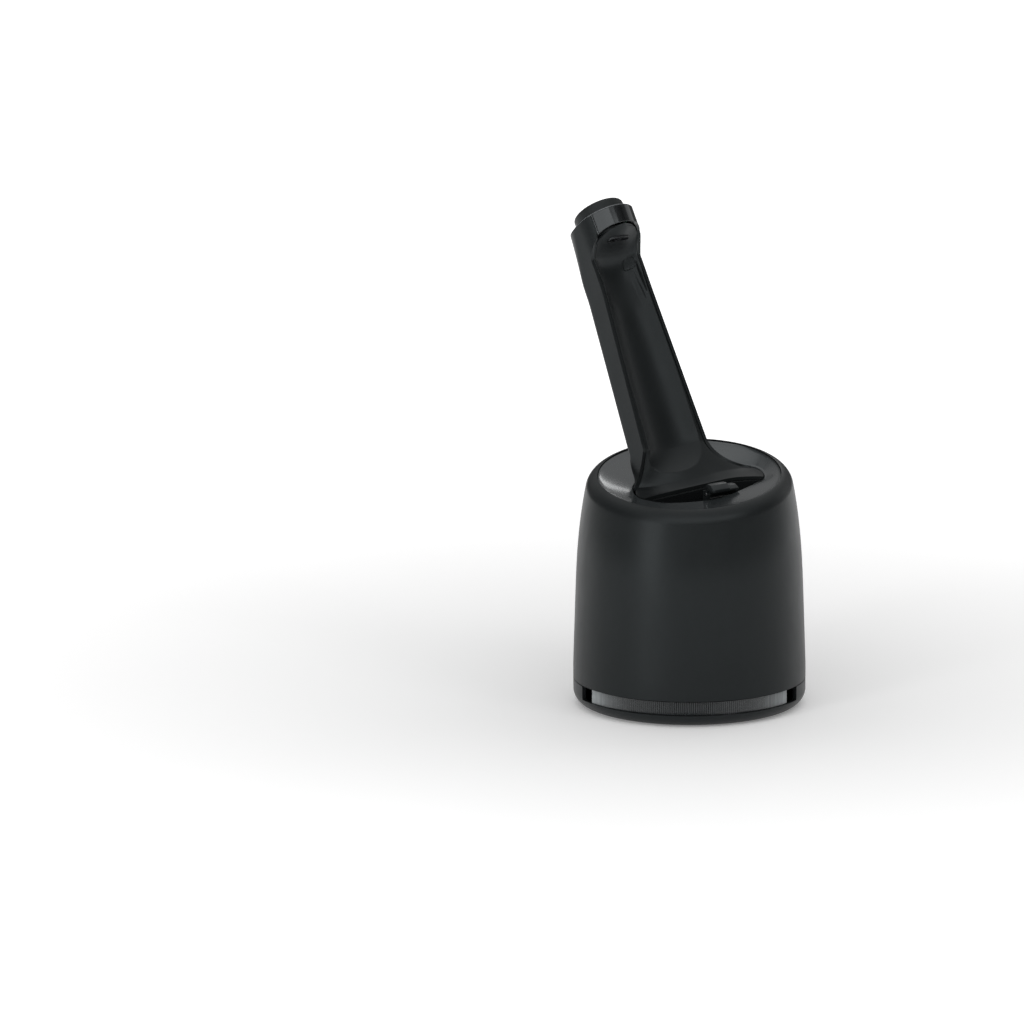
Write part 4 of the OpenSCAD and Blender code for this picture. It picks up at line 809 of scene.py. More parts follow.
@dataclass
class ArmForm:
    """The curves that the arm, the head and the mouth share, in the arm's axes."""

    housing: Housing
    turn: float = 42.0
    lean: float = 26.0
    level_z: float = 120.0
    back: float = 2.0
    w_foot: float = 48.4
    w_top: float = 34.6
    length: float = 114.0
    flare: float = 21.0
    depth: float = 19.0
    depth_foot: float = 17.4
    wall: float = 2.0
    head_lean: float = 38.0
    head_z: float = 252.9
    head_back: float = 69.6
    head_r: float = 17.8
    trim: float = 0.998
    head_flare: float = -0.01
    head_wide_at: float = 13.0
    head_low: float = 26.0
    neck_back: float = 3.6
    neck_gain: float = 0.3
    collar_front_h: float = 9.5
    arch_r: float = 27.8
    arch_lead: float = 1.9
    wrap: float = 9.3
    side_share: float = 0.62
    head_side_share: float = 0.2
    flat_share: float = 0.4
    dish_step: float = 0.9
    dish_fall: float = 4.6
    left_mouth: tuple[Flat, ...] = (
        (-10.2, 22.4), (-18.6, 21.2), (-24.8, 17.0), (-28.8, 11.8), (-30.9, 6.4), (-31.2, 1.5), (-26.5, -9.5),
        (-13.5, -19.8))
    seam_mid_y: float = -4.3
    seam_slope: float = -0.232
    seam_bend: float = 5.0
    seam_bend_x: float = 18.0
    seam_bend_run: float = 14.0
    mouth_half_w: float = 38.5
    mouth_front: float = 25.0
    mouth_tip: float = 15.0
    mouth_steps: int = 40

    def __post_init__(self) -> None:
        """Works out the levels and the turn to the part's axes."""
        self.to_part = Matrix.Rotation(math.radians(self.turn), 4, "Z")
        self.mouth_z = self.housing.rim_z - self.dish_step - self.dish_fall
        self.foot_back = self.back + self.depth_foot / cosine(self.lean)
        self.collar_h = self.collar_front_h + self.arch_r
        self.head_frame = (Matrix.Translation((0, self.head_back, self.head_z))
                           @ Matrix.Rotation(math.radians(-self.head_lean), 4, "X"))

    def rise(self, x: float, y: float) -> float:
        """Gives the rise of the sloped top at a place in the arm's axes."""
        c, s = cosine(self.turn), sine(self.turn)
        return self.housing.rise(x * c - y * s, x * s + y * c)

    def width(self, s: float) -> float:
        """Gives the arm's width at a place along it."""
        return mix(self.w_foot, self.w_top, s / self.length)

    def place(self, x: float, r: float, s: float) -> Point:
        """Gives the point x across, r behind the front face and s along the arm."""
        return (x, self.back + s * sine(self.lean) + r * cosine(self.lean),
                self.level_z + s * cosine(self.lean) - r * sine(self.lean))

    def head_place(self, x: float, y: float, z: float) -> Point:
        """Gives the point x, y, z of the head's own axes."""
        return (x, self.head_back + y * cosine(self.head_lean) + z * sine(self.head_lean),
                self.head_z - y * sine(self.head_lean) + z * cosine(self.head_lean))

    def head_radius(self, z: float) -> float:
        """Gives the head's radius at a height of its axes."""
        if z > -self.head_wide_at:
            return self.head_r - self.head_flare * z
        wide = self.head_r + self.head_flare * self.head_wide_at
        share = (-z - self.head_wide_at) / (self.head_low - self.head_wide_at)
        return mix(wide, self.w_top / 2 + self.neck_gain, share)

    def neck_shift(self, z: float) -> float:
        """Gives how far the head is set back at a height of its axes."""
        return -self.neck_back * z / self.head_low

    def head_wrap(self, z: float) -> float:
        """Gives how far the back shell reaches forward round the head."""
        under = max(0.0, self.arch_r ** 2 - (z + self.collar_h) ** 2)
        reach = self.neck_shift(z) + self.head_r + self.arch_lead - math.sqrt(under)
        return max(0.0, min(self.wrap, reach))

    def back_outline(self, f: float, half: float, depth: float, share: float, front: float) -> Flat:
        """Gives one point of a back outline.

        Args:
            f: The place on it, from -1 at the left edge over 0 at the back to 1 at the right.
            half: Half of its width.
            depth: Its depth.
            share: Share of the depth over which its sides are flat.
            front: How far its edges reach forward.

        Returns:
            The point's x and y.
        """
        side, inward = (1 if f >= 0 else -1), 1 - abs(f)
        if inward < self.flat_share:
            y = mix(-front, depth * share, inward / self.flat_share)
            return side * (math.sqrt(half * half - y * y) if y < 0 else half), y
        angle = 90 * (inward - self.flat_share) / (1 - self.flat_share)
        return side * half * cosine(angle), depth * (share + (1 - share) * sine(angle))

    def arm_outline(self, f: float, s: float) -> Point:
        """Gives a point of the arm's back."""
        depth = mix(self.depth_foot, self.depth, s / self.length)
        x, y = self.back_outline(f, self.width(s) / 2, depth, self.side_share, 0.0)
        return self.place(x, y, s)

    def head_outline(self, f: float, z: float) -> Point:
        """Gives a point of the head's back."""
        share = mix(self.head_side_share, self.side_share, -z / self.head_low)
        x, y = self.back_outline(f, self.head_radius(z), self.depth, share, self.head_wrap(z))
        return self.head_place(x * self.trim, y * self.trim + self.neck_shift(z), z)

    def arch_z(self, y: float) -> float:
        """Gives the arch's height in the head's axes at a distance behind its axis."""
        across = y + self.head_r + self.arch_lead
        return -self.collar_h + math.sqrt(max(0.0, self.arch_r ** 2 - across ** 2))

    def mouth_points(self, gap: float) -> list[Flat]:
        """Gives the corners of the mouth, a gap inside its edge."""
        w, tip, foot = self.mouth_half_w, self.mouth_tip, self.w_foot / 2
        right = self._front_corners(gap) + [
            (w + 0.8 - gap, -tip),
            (w + 2.2 - gap, -tip + 8.6),
            (w - 2.4 - gap, 1.6),
            (foot + 3.4 - gap, self.foot_back * 0.42),
            (foot * 0.8 - gap, self.foot_back * 0.84 - gap),
            (foot * 0.42, self.foot_back - gap)]
        return right + [(0.0, self.foot_back + 0.4 - gap)] + [self._inside(p, gap) for p in self.left_mouth]

    def _front_corners(self, gap: float) -> list[Flat]:
        """Gives the front corners that the mouth and the bowl share, a gap inside their edge."""
        w, front = self.mouth_half_w, self.mouth_front
        return [(0.0, -front + gap), (w * 0.52, -front + 0.8 + gap), (w * 0.84 - gap, -self.mouth_tip - 7.4 + gap)]

    def mouth_at(self, place: float, gap: float) -> Flat:
        """Gives the mouth's point at a place in its list of corners, a gap inside its edge."""
        return loop_curve(self.mouth_points(gap), self.mouth_steps)[round(place * self.mouth_steps)]

    @staticmethod
    def _inside(point: Flat, gap: float) -> Flat:
        """Moves a point of the mouth's left side in by a gap."""
        length = math.hypot(*point)
        return point[0] * (1 - gap / length), point[1] * (1 - gap / length)

    def seam_y(self, x: float) -> float:
        """Gives how far back the front shell's foot lies at a place across it."""
        bent = max(0.0, (x - self.seam_bend_x) / self.seam_bend_run)
        return self.seam_mid_y + self.seam_slope * x - self.seam_bend * bent ** 2

    def bowl_points(self, gap: float) -> list[Flat]:
        """Gives the corners of the bowl's outline, a gap inside its edge."""
        w = self.mouth_half_w
        front = self._front_corners(gap) + [(w * 0.9 - gap, -self.mouth_tip - 5.2)]
        back = [(x, self.seam_y(x) - gap) for x in (w * 0.84, 20.0, 0.0, -14.0, -25.0)]
        return front + back + [self._inside(p, gap) for p in self.left_mouth[5:]]


# ---- dish, bowl and clip ----------------------------------------------------


@dataclass
class Dish:
    """The polished dish round the mouth and the bowl below it."""

    form: ArmForm
    gap: float = 0.22
    step: float = 0.5
    wall: float = 1.8
    power: float = 0.8
    lip: float = 1.1
    roll: float = 1.1
    soft_drop: float = 0.12
    soft_in: float = 0.3
    rows: int = 14
    fit: float = 0.3
    bowl_floor_z: float = 84.0
    floor_share: float = 0.8
    bowl_power: float = 2.2
    drain_r: float = 3.4
    bowl_centre_y: float = -15.5

    def build(self, station: Station) -> None:
        """Makes the dish and the bowl."""
        self._dish(station)
        self._bowl(station)

    def _dish(self, station: Station) -> None:
        """Makes the dish, its surface rolling over into the mouth."""
        form = self.form
        edge_r, edge_z = form.housing.rim_r - self.gap, form.housing.rim_z - self.step
        edge = loop_curve(form.mouth_points(0.0), 14)
        fall = edge_z - form.mouth_z

        def point(mouth: Flat, t: float, drop: float = 0.0, inward: float = 0.0) -> Point:
            """Gives the point a share t of the way from the dish's edge to the mouth."""
            angle = math.atan2(mouth[1], mouth[0])
            x = mix((edge_r - inward) * math.cos(angle), mouth[0] * (1 + self.roll / math.hypot(*mouth)), t)
            y = mix((edge_r - inward) * math.sin(angle), mouth[1] * (1 + self.roll / math.hypot(*mouth)), t)
            return x, y, edge_z - drop - fall * t ** self.power + form.rise(x, y)

        def rolled(mouth: Flat, angle: float) -> Point:
            """Gives the point at an angle of the roll into the mouth."""
            share = 1 + (self.roll - self.roll * sine(angle)) / math.hypot(*mouth)
            x, y = mouth[0] * share, mouth[1] * share
            drop = self.roll - self.roll * cosine(angle)
            return x, y, form.mouth_z - drop + form.rise(x, y)

        rings = [[point(mouth, 0.0, drop) for mouth in edge] for drop in (self.wall, self.lip, self.soft_drop)]
        rings += [[point(mouth, 0.0, 0.0, self.soft_in) for mouth in edge]]
        rings += [[point(mouth, step / self.rows) for mouth in edge] for step in range(1, self.rows + 1)]
        rings += [[rolled(mouth, angle) for mouth in edge] for angle in range(15, 91, 15)]
        rings += [[(x, y, z - self.wall + self.roll) for x, y, z in (rolled(mouth, 90) for mouth in edge)]]
        rings += [[point(mouth, t, self.wall) for mouth in edge] for t in (0.96, 0.6, 0.3)]
        shell = Blank().loft(rings, round_ends=True).outward().moved(form.to_part)
        station.piece("dish_shell", shell, Finish.DISH, "dish_ring", Dress(sharp=50))

    def _bowl(self, station: Station) -> None:
        """Makes the bowl, its wall folded at the rim and at the drain."""
        form = self.form
        top_drop = self.wall + 0.05

        def ring(gap: float, t: float, floor_z: float) -> list[Point]:
            """Gives the bowl's ring a share t of the way down."""
            share = mix(1.0, self.floor_share, t ** self.bowl_power)
            points = []
            for px, py in loop_curve(form.bowl_points(gap), 10):
                x, y = px * share, mix(self.bowl_centre_y, py, share)
                points.append((x, y, mix(form.mouth_z - top_drop + form.rise(px, py), floor_z, t)))
            return points

        def drain(like: Sequence[Point], z: float) -> list[Point]:
            """Gives the drain's edge, in step with a ring."""
            angles = [math.atan2(p[1] - self.bowl_centre_y, p[0]) for p in like]
            return [(self.drain_r * math.cos(a), self.bowl_centre_y + self.drain_r * math.sin(a), z) for a in angles]

        shares = [i / self.rows for i in range(self.rows + 1)]
        low_z = self.bowl_floor_z - self.wall
        outer = [ring(self.fit, t, low_z) for t in shares]
        inner = [ring(self.fit + self.wall, t, self.bowl_floor_z) for t in shares]
        rings = outer + [drain(outer[-1], low_z), drain(inner[-1], self.bowl_floor_z)] + inner[::-1]
        bowl = Blank().loft(rings, round_ends=True).outward().moved(form.to_part)
        station.piece("bowl_shell", bowl, Finish.BOWL, "cleaning_bowl", Dress(edge=0.25))


@dataclass
class Clip:
    """The stepped clip at the bowl's front."""

    form: ArmForm
    width: float = 18.2
    offset: float = 3.2
    pin_r: float = 0.95
    barrel_r: float = 1.9

    def build(self, station: Station) -> None:
        """Makes the clip: a barrel, a faceted block and a lower step beside it."""
        form = self.form
        y = -form.mouth_front + 3.8
        z = form.mouth_z + form.rise(self.offset, -form.mouth_front) + 1.2
        along = Matrix(((0, 0, 1), (1, 0, 0), (0, 1, 0))).to_4x4()
        block = [(2.4, 0.8), (2.4, 4.0), (0.8, 5.3), (-2.0, 4.9), (-4.9, 2.5), (-4.9, 1.0), (-1.0, 0.6)]
        step = [(2.4, 0.8), (2.4, 2.8), (0.9, 3.9), (-2.0, 3.6), (-4.7, 1.9), (-4.7, 1.0), (-1.0, 0.6)]
        split = self.width * 0.16
        shape = Blank().drawn(block, self.width / 2 + split, Matrix.Translation((-self.width / 2, 0, 0)) @ along)
        right = Blank().drawn(step, self.width / 2 - split - 0.01, Matrix.Translation((split, 0, 0)) @ along)
        shape.joined(right).rounded(0.45, 3, 20)
        shape.joined(self._barrel())
        shape.moved(form.to_part @ Matrix.Translation((self.offset, y, z)))
        station.piece("clip_block", shape, Finish.CLIP, "bowl_clip", Dress(sharp=28))

    def _barrel(self) -> Blank:
        """Gives the bored barrel."""
        tube = Blank()
        loops = [[tube.bm.verts.new((-self.width / 2, r * cosine(a), r * sine(a))) for a in range(0, 360, 8)]
                 for r in (self.barrel_r, self.pin_r)]
        ends = [tube.bm.edges.new(pair) for loop in loops for pair in zip(loop, loop[1:] + loop[:1])]
        bmesh.ops.bridge_loops(tube.bm, edges=ends)
        return tube.pulled(tube.bm.faces[:], (self.width, 0, 0))


# ---- arm --------------------------------------------------------------------


@dataclass
class Arm:
    """The back shell, and the troughed front shell with its niche and side tabs."""

    form: ArmForm
    gap: float = 0.2
    foot_sink: float = 1.4
    foot_stand: float = 0.2
    right_corner: float = 2.35
    right_meet: float = 4.2
    left_corner: float = 15.0
    left_meet: float = 12.3
    meet_share: float = 0.22
    back_corner: float = 9.0
    around: int = 112
    columns: int = 96
    flare_rows: int = 14
    arm_rows: int = 12
    head_rows: int = 22
    top_rows: int = 4
    foot_rows: int = 60
    trough_rows: int = 20
    niche_rows: int = 40
    flare_power: float = 2.2
    rise_power: float = 1.25
    corner_power: int = 6
    trough_depth: float = 5.0
    trough_power: float = 2.2
    trough_end: float = 23.0
    trough_round: float = 13.5
    trough_skew: float = 3.4
    rim_foot: float = 2.0
    rim_top: float = 0.7
    rim_run: float = 50.0
    foot_left: float = -30.6
    foot_right: float = 35.0
    dish_drop: float = 1.75
    foot_low: float = 0.4
    front_wall: float = 1.0
    niche_r_in: float = 2.45
    seam: float = 0.45
    recess: float = 0.35
    tab_x: float = 10.8
    tab_z: float = -23.4
    tab_w: float = 5.4
    tab_h: float = 5.2
    tab_proud: float = 0.25

    def build(self, station: Station) -> None:
        """Makes both shells and the side tabs."""
        self._back(station)
        self._front(station)

    def _flared(self, foot: Point, arm: Point, t: float) -> Point:
        """Gives the point a share t of the way up the flare."""
        return (mix(foot[0], arm[0], 1 - (1 - t) ** self.flare_power), mix(foot[1], arm[1], t),
                mix(foot[2], arm[2], t ** self.rise_power))

    def _back(self, station: Station) -> None:
        """Makes the back shell, from the mouth to the ring under the button."""
        form = self.form
        steps = 8 * (self.around // 12)
        fine = loop_curve(form.mouth_points(self.gap), steps)
        places = [1 - 2 * j / self.around for j in range(self.around + 1)]
        corners = [mix(self.back_corner, self.right_meet if f > 0 else self.left_meet, abs(f)) for f in places]
        curve = [fine[round(corner * steps)] for corner in corners]

        def foot(drop: float) -> list[Point]:
            """Gives the foot's ring at a drop below the mouth."""
            return [(x, y, form.mouth_z - drop + form.rise(x, y)) for x, y in curve]

        low, high = foot(-self.foot_stand), [form.arm_outline(f, form.flare) for f in places]
        rings = [foot(self.foot_sink)]
        rings += [[self._flared(a, b, step / self.flare_rows) for a, b in zip(low, high)]
                  for step in range(self.flare_rows + 1)]
        rings += [[form.arm_outline(f, mix(form.flare, form.length, step / self.arm_rows)) for f in places]
                  for step in range(1, self.arm_rows + 1)]
        neck = len(rings) - 2
        heights = [mix(-form.head_low, -form.head_wide_at, step / self.head_rows) for step in range(self.head_rows)]
        heights += [mix(-form.head_wide_at, 0, step / self.top_rows) for step in range(self.top_rows + 1)]
        rings += [[form.head_outline(f, z) for f in places] for z in heights]
        eased_rows(rings, [(neck, neck + 4)] * len(places))
        shell = Blank().loft(rings, round_rings=False).spreading(form.place(0, 6, 60)).moved(form.to_part)
        station.piece("arm_back", shell, Finish.ARM, "arm_back_shell",
                      Dress(wall=form.wall, edge=0.3, edge_steps=3, edge_angle=50))

    def _across(self, w: float) -> float:
        """Spreads the columns so that they lie closer at the edges, w and the result from -1 to 1."""
        return sine(90 * w)

    def _own_edge(self, side: int, t: float) -> Point:
        """Gives the front shell's edge a share t of the way up: along the mouth, then up beside the back shell."""
        form, share = self.form, min(t / self.meet_share, 1.0)
        corner, meet = (self.right_corner, self.right_meet) if side > 0 else (self.left_corner, self.left_meet)
        x, y = form.mouth_at(mix(corner, meet, share), mix(self.gap, form.wall + self.seam, share ** 4))
        foot = (x, y, form.mouth_z - self.foot_low * sine(180 * share) + form.rise(x, y))
        if share < 1:
            return foot
        half = form.width(form.flare) / 2 - form.wall - self.seam
        above = (t - self.meet_share) / (1 - self.meet_share)
        return self._flared(foot, form.place(side * half, 0, form.flare), above)

    def _hollow(self, x: float, half: float, s: float) -> float:
        """Gives the trough's depth at a place of the arm."""
        end = max(0.0, self.trough_end - s) / self.trough_round
        rim = mix(self.rim_foot, self.rim_top, ease((s - self.form.flare) / self.rim_run))
        across = abs(x + self.trough_skew * min(end, 1.0)) / (half - rim)
        return self.trough_depth * max(0.0, 1 - across ** self.trough_power - end * end)

    def _border(self, v: float) -> Vector:
        """Gives half the niche's width, the place and the height of its border, v from 0 at the neck to 1 above."""
        form = self.form
        bend = 0.6
        if v < bend:
            z = mix(-form.head_low, -12.5, v / bend)
            r = form.head_radius(z) - self.niche_r_in
            forward = max(0.0, form.head_wrap(z) - 0.1)
            return Vector((math.sqrt(r * r - forward * forward), form.neck_shift(z) - forward, z))
        r = form.head_radius(-12.0) - self.niche_r_in
        angle = mix(math.degrees(math.acos(form.wrap / r)), 0.0, ((v - bend) / (1 - bend)) ** 0.8)
        y = form.neck_shift(-12.0) * (1 - (v - bend) / (1 - bend)) - r * cosine(angle)
        return Vector((r * sine(angle), y, form.arch_z(y) - 0.3))

    def _niche(self, v: float, w: float) -> Point:
        """Gives a point of the niche in the head's axes."""
        form = self.form
        start = form.neck_shift(-form.head_low) + self.trough_depth + self.recess
        ridge = [(start, -26.0), (start - 0.5, -22.6), (start - 1.7, -19.7), (4.2, -17.4), (0.4, -15.8),
                 (-5.0, -14.55), (-11.0, -12.8), (-15.45, -10.2)]
        edge, middle = self._border(v), point_along([(y, z, 0.0) for y, z in ridge], v)
        u = self._across(w)
        steep = ease(v / 0.35)
        shape = max(0.0, 1 - abs(u) ** mix(2.2, 2.6, steep)) ** mix(1.0, 0.62, steep)
        return form.head_place(edge.x * u, mix(edge.y, middle.x, shape), mix(edge.z, middle.y, shape))

    def _front(self, station: Station) -> None:
        """Makes the front shell: its flared foot, the trough and the niche."""
        form = self.form
        ws = [2 * i / self.columns - 1 for i in range(self.columns + 1)]
        start = form.width(form.flare) / 2 - form.wall - self.seam

        def foot(w: float, drop: float) -> Point:
            """Gives a point of the front shell's foot."""
            x = mix(self.foot_left, self.foot_right, (self._across(w) + 1) / 2)
            y = form.seam_y(x)
            return x, y, form.mouth_z - drop + form.rise(x, y)

        def plain(w: float, t: float) -> Vector:
            """Gives a point of the foot's flare before its edges are drawn out along the mouth."""
            return Vector(self._flared(foot(w, 0.0), form.place(self._across(w) * start, 0, form.flare), t))

        rings: list[list[Point]] = []
        for step in range(self.foot_rows + 1):
            t = step / self.foot_rows
            right = Vector(self._own_edge(1, t)) - plain(1.0, t)
            left = Vector(self._own_edge(-1, t)) - plain(-1.0, t)
            half = mix(abs(self.foot_left), start, 1 - (1 - t) ** self.flare_power)
            row = []
            for w in ws:
                u = self._across(w)
                to_right, to_left = ((1 + u) / 2) ** self.corner_power, ((1 - u) / 2) ** self.corner_power
                x, y, z = plain(w, t) + right * to_right + left * to_left
                deep = form.place(0, self.recess * t + self._hollow(x, half, form.flare * t), 0)
                row.append((x, y + deep[1] - form.back, z + deep[2] - form.level_z))
            rings.append(row)
        rings.insert(0, [(x, y, z - self.dish_drop) for x, y, z in rings[0]])
        for step in range(1, self.trough_rows + 1):
            s = mix(form.flare, form.length, step / self.trough_rows)
            half = form.width(s) / 2 - form.wall - self.seam
            xs = [self._across(w) * half for w in ws]
            rings.append([form.place(x, self.recess + self._hollow(x, half, s), s) for x in xs])
        neck = len(rings) - 2
        rings += [[self._niche(step / self.niche_rows, w) for w in ws] for step in range(self.niche_rows + 1)]
        middles = [1 - abs(w) ** 4 for w in ws]
        eased_rows(rings, [(neck - round(3 * share), neck + 3 + round(11 * share)) for share in middles])
        sheet = Blank().loft(rings, round_rings=False).facing((0, -1, 0.4))
        shell = sheet.thickened(self.front_wall)
        tabs = {side: shell.copied().cut(self._tab_box(side, 0.0), "INTERSECT") for side in (-1, 1)}
        for side in (-1, 1):
            shell.cut(self._tab_box(side, self.gap))
        shell.cut(ContactBlock(form).plug(self.gap * 0.7))
        shell.moved(form.to_part)
        station.piece("arm_front", shell, Finish.ARM, "arm_front_shell", Dress(edge=0.18, edge_angle=50, sharp=40))
        proud = form.head_frame.to_3x3() @ Vector((0, -self.tab_proud, 0))
        for side, name in ((-1, "left"), (1, "right")):
            tab = tabs[side].moved(form.to_part @ Matrix.Translation(proud))
            station.piece(f"tab_{name}", tab, Finish.TAB, f"side_tab_{name}",
                          Dress(edge=0.3, edge_steps=3, edge_angle=50))

    def _tab_box(self, side: int, gap: float) -> Blank:
        """Gives the rounded slot of a side tab."""
        x, w, h = side * self.tab_x, self.tab_w / 2 + gap, self.tab_h / 2 + gap
        box = Blank().box((x - w, -2.0, self.tab_z - h), (x + w, 16.0, self.tab_z + h))
        return box.rounded(1.1, 4).moved(self.form.head_frame)


@dataclass
class ContactBlock:
    """The oval contact socket under the niche's roof, with a slot and a sprung pin at each end."""

    form: ArmForm
    centre_y: float = -5.0
    half_w: float = 7.2
    half_d: float = 3.1
    low_z: float = -14.6
    high_z: float = -11.1
    slot_in: float = 2.7
    slot_out: float = 5.4
    slot_r: float = 1.35
    slot_deep: float = 1.9
    pin_x: float = 3.5
    pin_r: float = 0.9
    pin_tip: float = -13.6
    collar_low: float = -10.4
    collar_high: float = -9.8
    collar_out: float = 0.3

    def plug(self, gap: float) -> Blank:
        """Gives the socket's oval body, widened by a gap."""
        oval = [((self.half_w + gap) * cosine(a), (self.half_d + gap) * sine(a)) for a in range(0, 360, 6)]
        outline = [(math.copysign(abs(x / self.half_w) ** 0.8, x) * self.half_w, y) for x, y in oval]
        low = Matrix.Translation((0, self.centre_y, self.low_z - gap))
        return Blank().drawn(outline, self.high_z - self.low_z + 2 * gap, low).moved(self.form.head_frame)

    def _slot(self, side: int) -> Blank:
        """Gives the cutter of one slot."""
        ends = [(self.slot_in, 90, 270), (self.slot_out, -90, 90)]
        outline = [(side * (x + self.slot_r * cosine(a)), self.slot_r * sine(a))
                   for x, start, stop in ends for a in range(start, stop + 1, 12)]
        low = Matrix.Translation((0, self.centre_y, self.low_z - 1))
        return Blank().drawn(outline, 1 + self.slot_deep, low).moved(self.form.head_frame)

    def build(self, station: Station) -> None:
        """Makes the socket and its two pins."""
        turn = self.form.to_part
        body = self.plug(0.0)
        for side in (-1, 1):
            body.cut(self._slot(side))
        station.piece("contact_socket", body.moved(turn), Finish.SOCKET, "contact_block", Dress(edge=0.25))
        for side, name in ((-1, "left"), (1, "right")):
            dome = [(self.pin_r * sine(a), self.pin_tip + self.pin_r * (1 - cosine(a))) for a in range(0, 91, 15)]
            wide = self.pin_r + self.collar_out
            outline = dome + [(self.pin_r, self.collar_low), (wide, self.collar_low), (wide, self.collar_high),
                              (0.0, self.collar_high)]
            pin = Blank().turned(outline, 36).moved(
                turn @ self.form.head_frame @ Matrix.Translation((side * self.pin_x, self.centre_y, 0)))
            station.piece(f"pin_{name}", pin, Finish.GILT, f"contact_pin_{name}", Dress(sharp=50))


# ---- head -------------------------------------------------------------------


@dataclass
class Head:
    """The collar, the ring and the start button."""

    form: ArmForm
    collar_wall: float = 1.8
    collar_gap: float = 0.1
    ring_h: float = 1.2
    button_r: float = 14.2
    button_h: float = 6.2
    skirt: float = 0.9

    def build(self, station: Station) -> None:
        """Makes the three pieces."""
        turn = self.form.to_part @ self.form.head_frame
        self._collar(station)
        out, top = self.form.head_r, self.ring_h
        ring = [(self.button_r + 0.25, 0.0), (out, 0.0), (out, 0.25), (out - 0.15, 0.45), (out - 1.0, top - 0.12),
                (out - 1.3, top), (self.button_r + 0.6, top), (self.button_r + 0.25, top - 0.3)]
        station.piece("ring_band", Blank().turned(ring, 144).moved(turn), Finish.RING, "collar_ring",
                      Dress(edge=0.12, edge_angle=30))
        station.piece("button_cap", Blank().turned(self._button(), 144).moved(turn), Finish.BUTTON, "start_button",
                      Dress(edge=0.15, edge_angle=50, sharp=40))

    def _collar(self, station: Station) -> None:
        """Makes the polished insert at the head's front, its lower edge cut round."""
        form = self.form
        reach = form.wrap + self.collar_gap

        def place(u: float, v: float) -> Point:
            """Gives a point of the collar, u round its front and v from its arch to its top."""
            side = 2 * u - 1
            wide = math.degrees(math.acos(reach / form.head_r))
            angle = side * wide
            low = form.arch_z(-form.head_radius(-form.head_wide_at) * cosine(angle))
            z = mix(low, 0.0, v)
            r = form.head_radius(z)
            return form.head_place(r * sine(angle), -r * cosine(angle) + form.neck_shift(z), z)

        sheet = Blank().sheet(72, 12, place).facing((0, -1, 0)).moved(form.to_part)
        station.piece("collar_front", sheet, Finish.COLLAR, "head_collar",
                      Dress(wall=self.collar_wall, edge=0.25, edge_steps=3, edge_angle=50))

    def _button(self) -> list[Flat]:
        """Gives the button's outline, its top edge well rounded."""
        top, r, wall, soft = self.ring_h + self.button_h, self.button_r, 1.6, 1.9
        crown = [(r - soft + soft * sine(a), top - soft + soft * cosine(a)) for a in range(0, 91, 10)]
        dished = [(0.0, top - 0.35), (r * 0.45, top - 0.25), (r * 0.72, top - 0.06)]
        return dished + crown + [
            (r, -0.3), (r + self.skirt, -0.3), (r + self.skirt, -1.4), (r - wall, -1.4),
            (r - wall, top - wall - 0.6), (2.0, top - wall - 0.6), (2.0, -0.8), (0.0, -0.8)]


# ---- back of the housing ----------------------------------------------------


@dataclass
class Release:
    """The release button at the back, with finger grooves."""

    housing: Housing
    grooves: int = 5
    groove_depth: float = 0.45
    groove_high: float = 0.42
    groove_wide: float = 0.40

    def build(self, station: Station) -> None:
        """Makes the button: a grooved face on the housing's curve, and its flange."""
        low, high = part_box("release_button")
        w, h, z = self.housing.release_w, self.housing.release_h, self.housing.release_z
        face_r = self.housing.side_r(z) - 0.1
        flange = [low.y / MM, low.y / MM + 1.3]

        def place(u: float, v: float) -> Point:
            """Gives a point of the grooved face."""
            x, height = mix(-w / 2, w / 2, u), mix(-h / 2, h / 2, v)
            inside = ease((h * self.groove_high - abs(height)) / 0.6) * ease((w * self.groove_wide - abs(x)) / 1.2)
            turn = height / (h * (2 * self.groove_high)) * self.grooves + 0.5
            wave = (0.5 - 0.5 * math.cos(2 * math.pi * turn)) ** 2
            r = face_r - self.groove_depth * wave * inside
            return x, math.sqrt(r * r - x * x), z + height

        face = Blank().sheet(40, 88, place).facing((0, 1, 0))
        border = [edge for edge in face.bm.edges if edge.is_boundary]
        made = bmesh.ops.extrude_edge_only(face.bm, edges=border)
        for vert in (item for item in made["geom"] if isinstance(item, bmesh.types.BMVert)):
            vert.co.y = flange[1] - 0.4
        face.cap().outward()
        face.joined(Blank().box((low.x / MM, flange[0], low.z / MM), (high.x / MM, flange[1], high.z / MM)))
        station.piece("release_face", face, Finish.PAN, "release_button", Dress(edge=0.35, edge_angle=60))


# ---- the rest ---------------------------------------------------------------


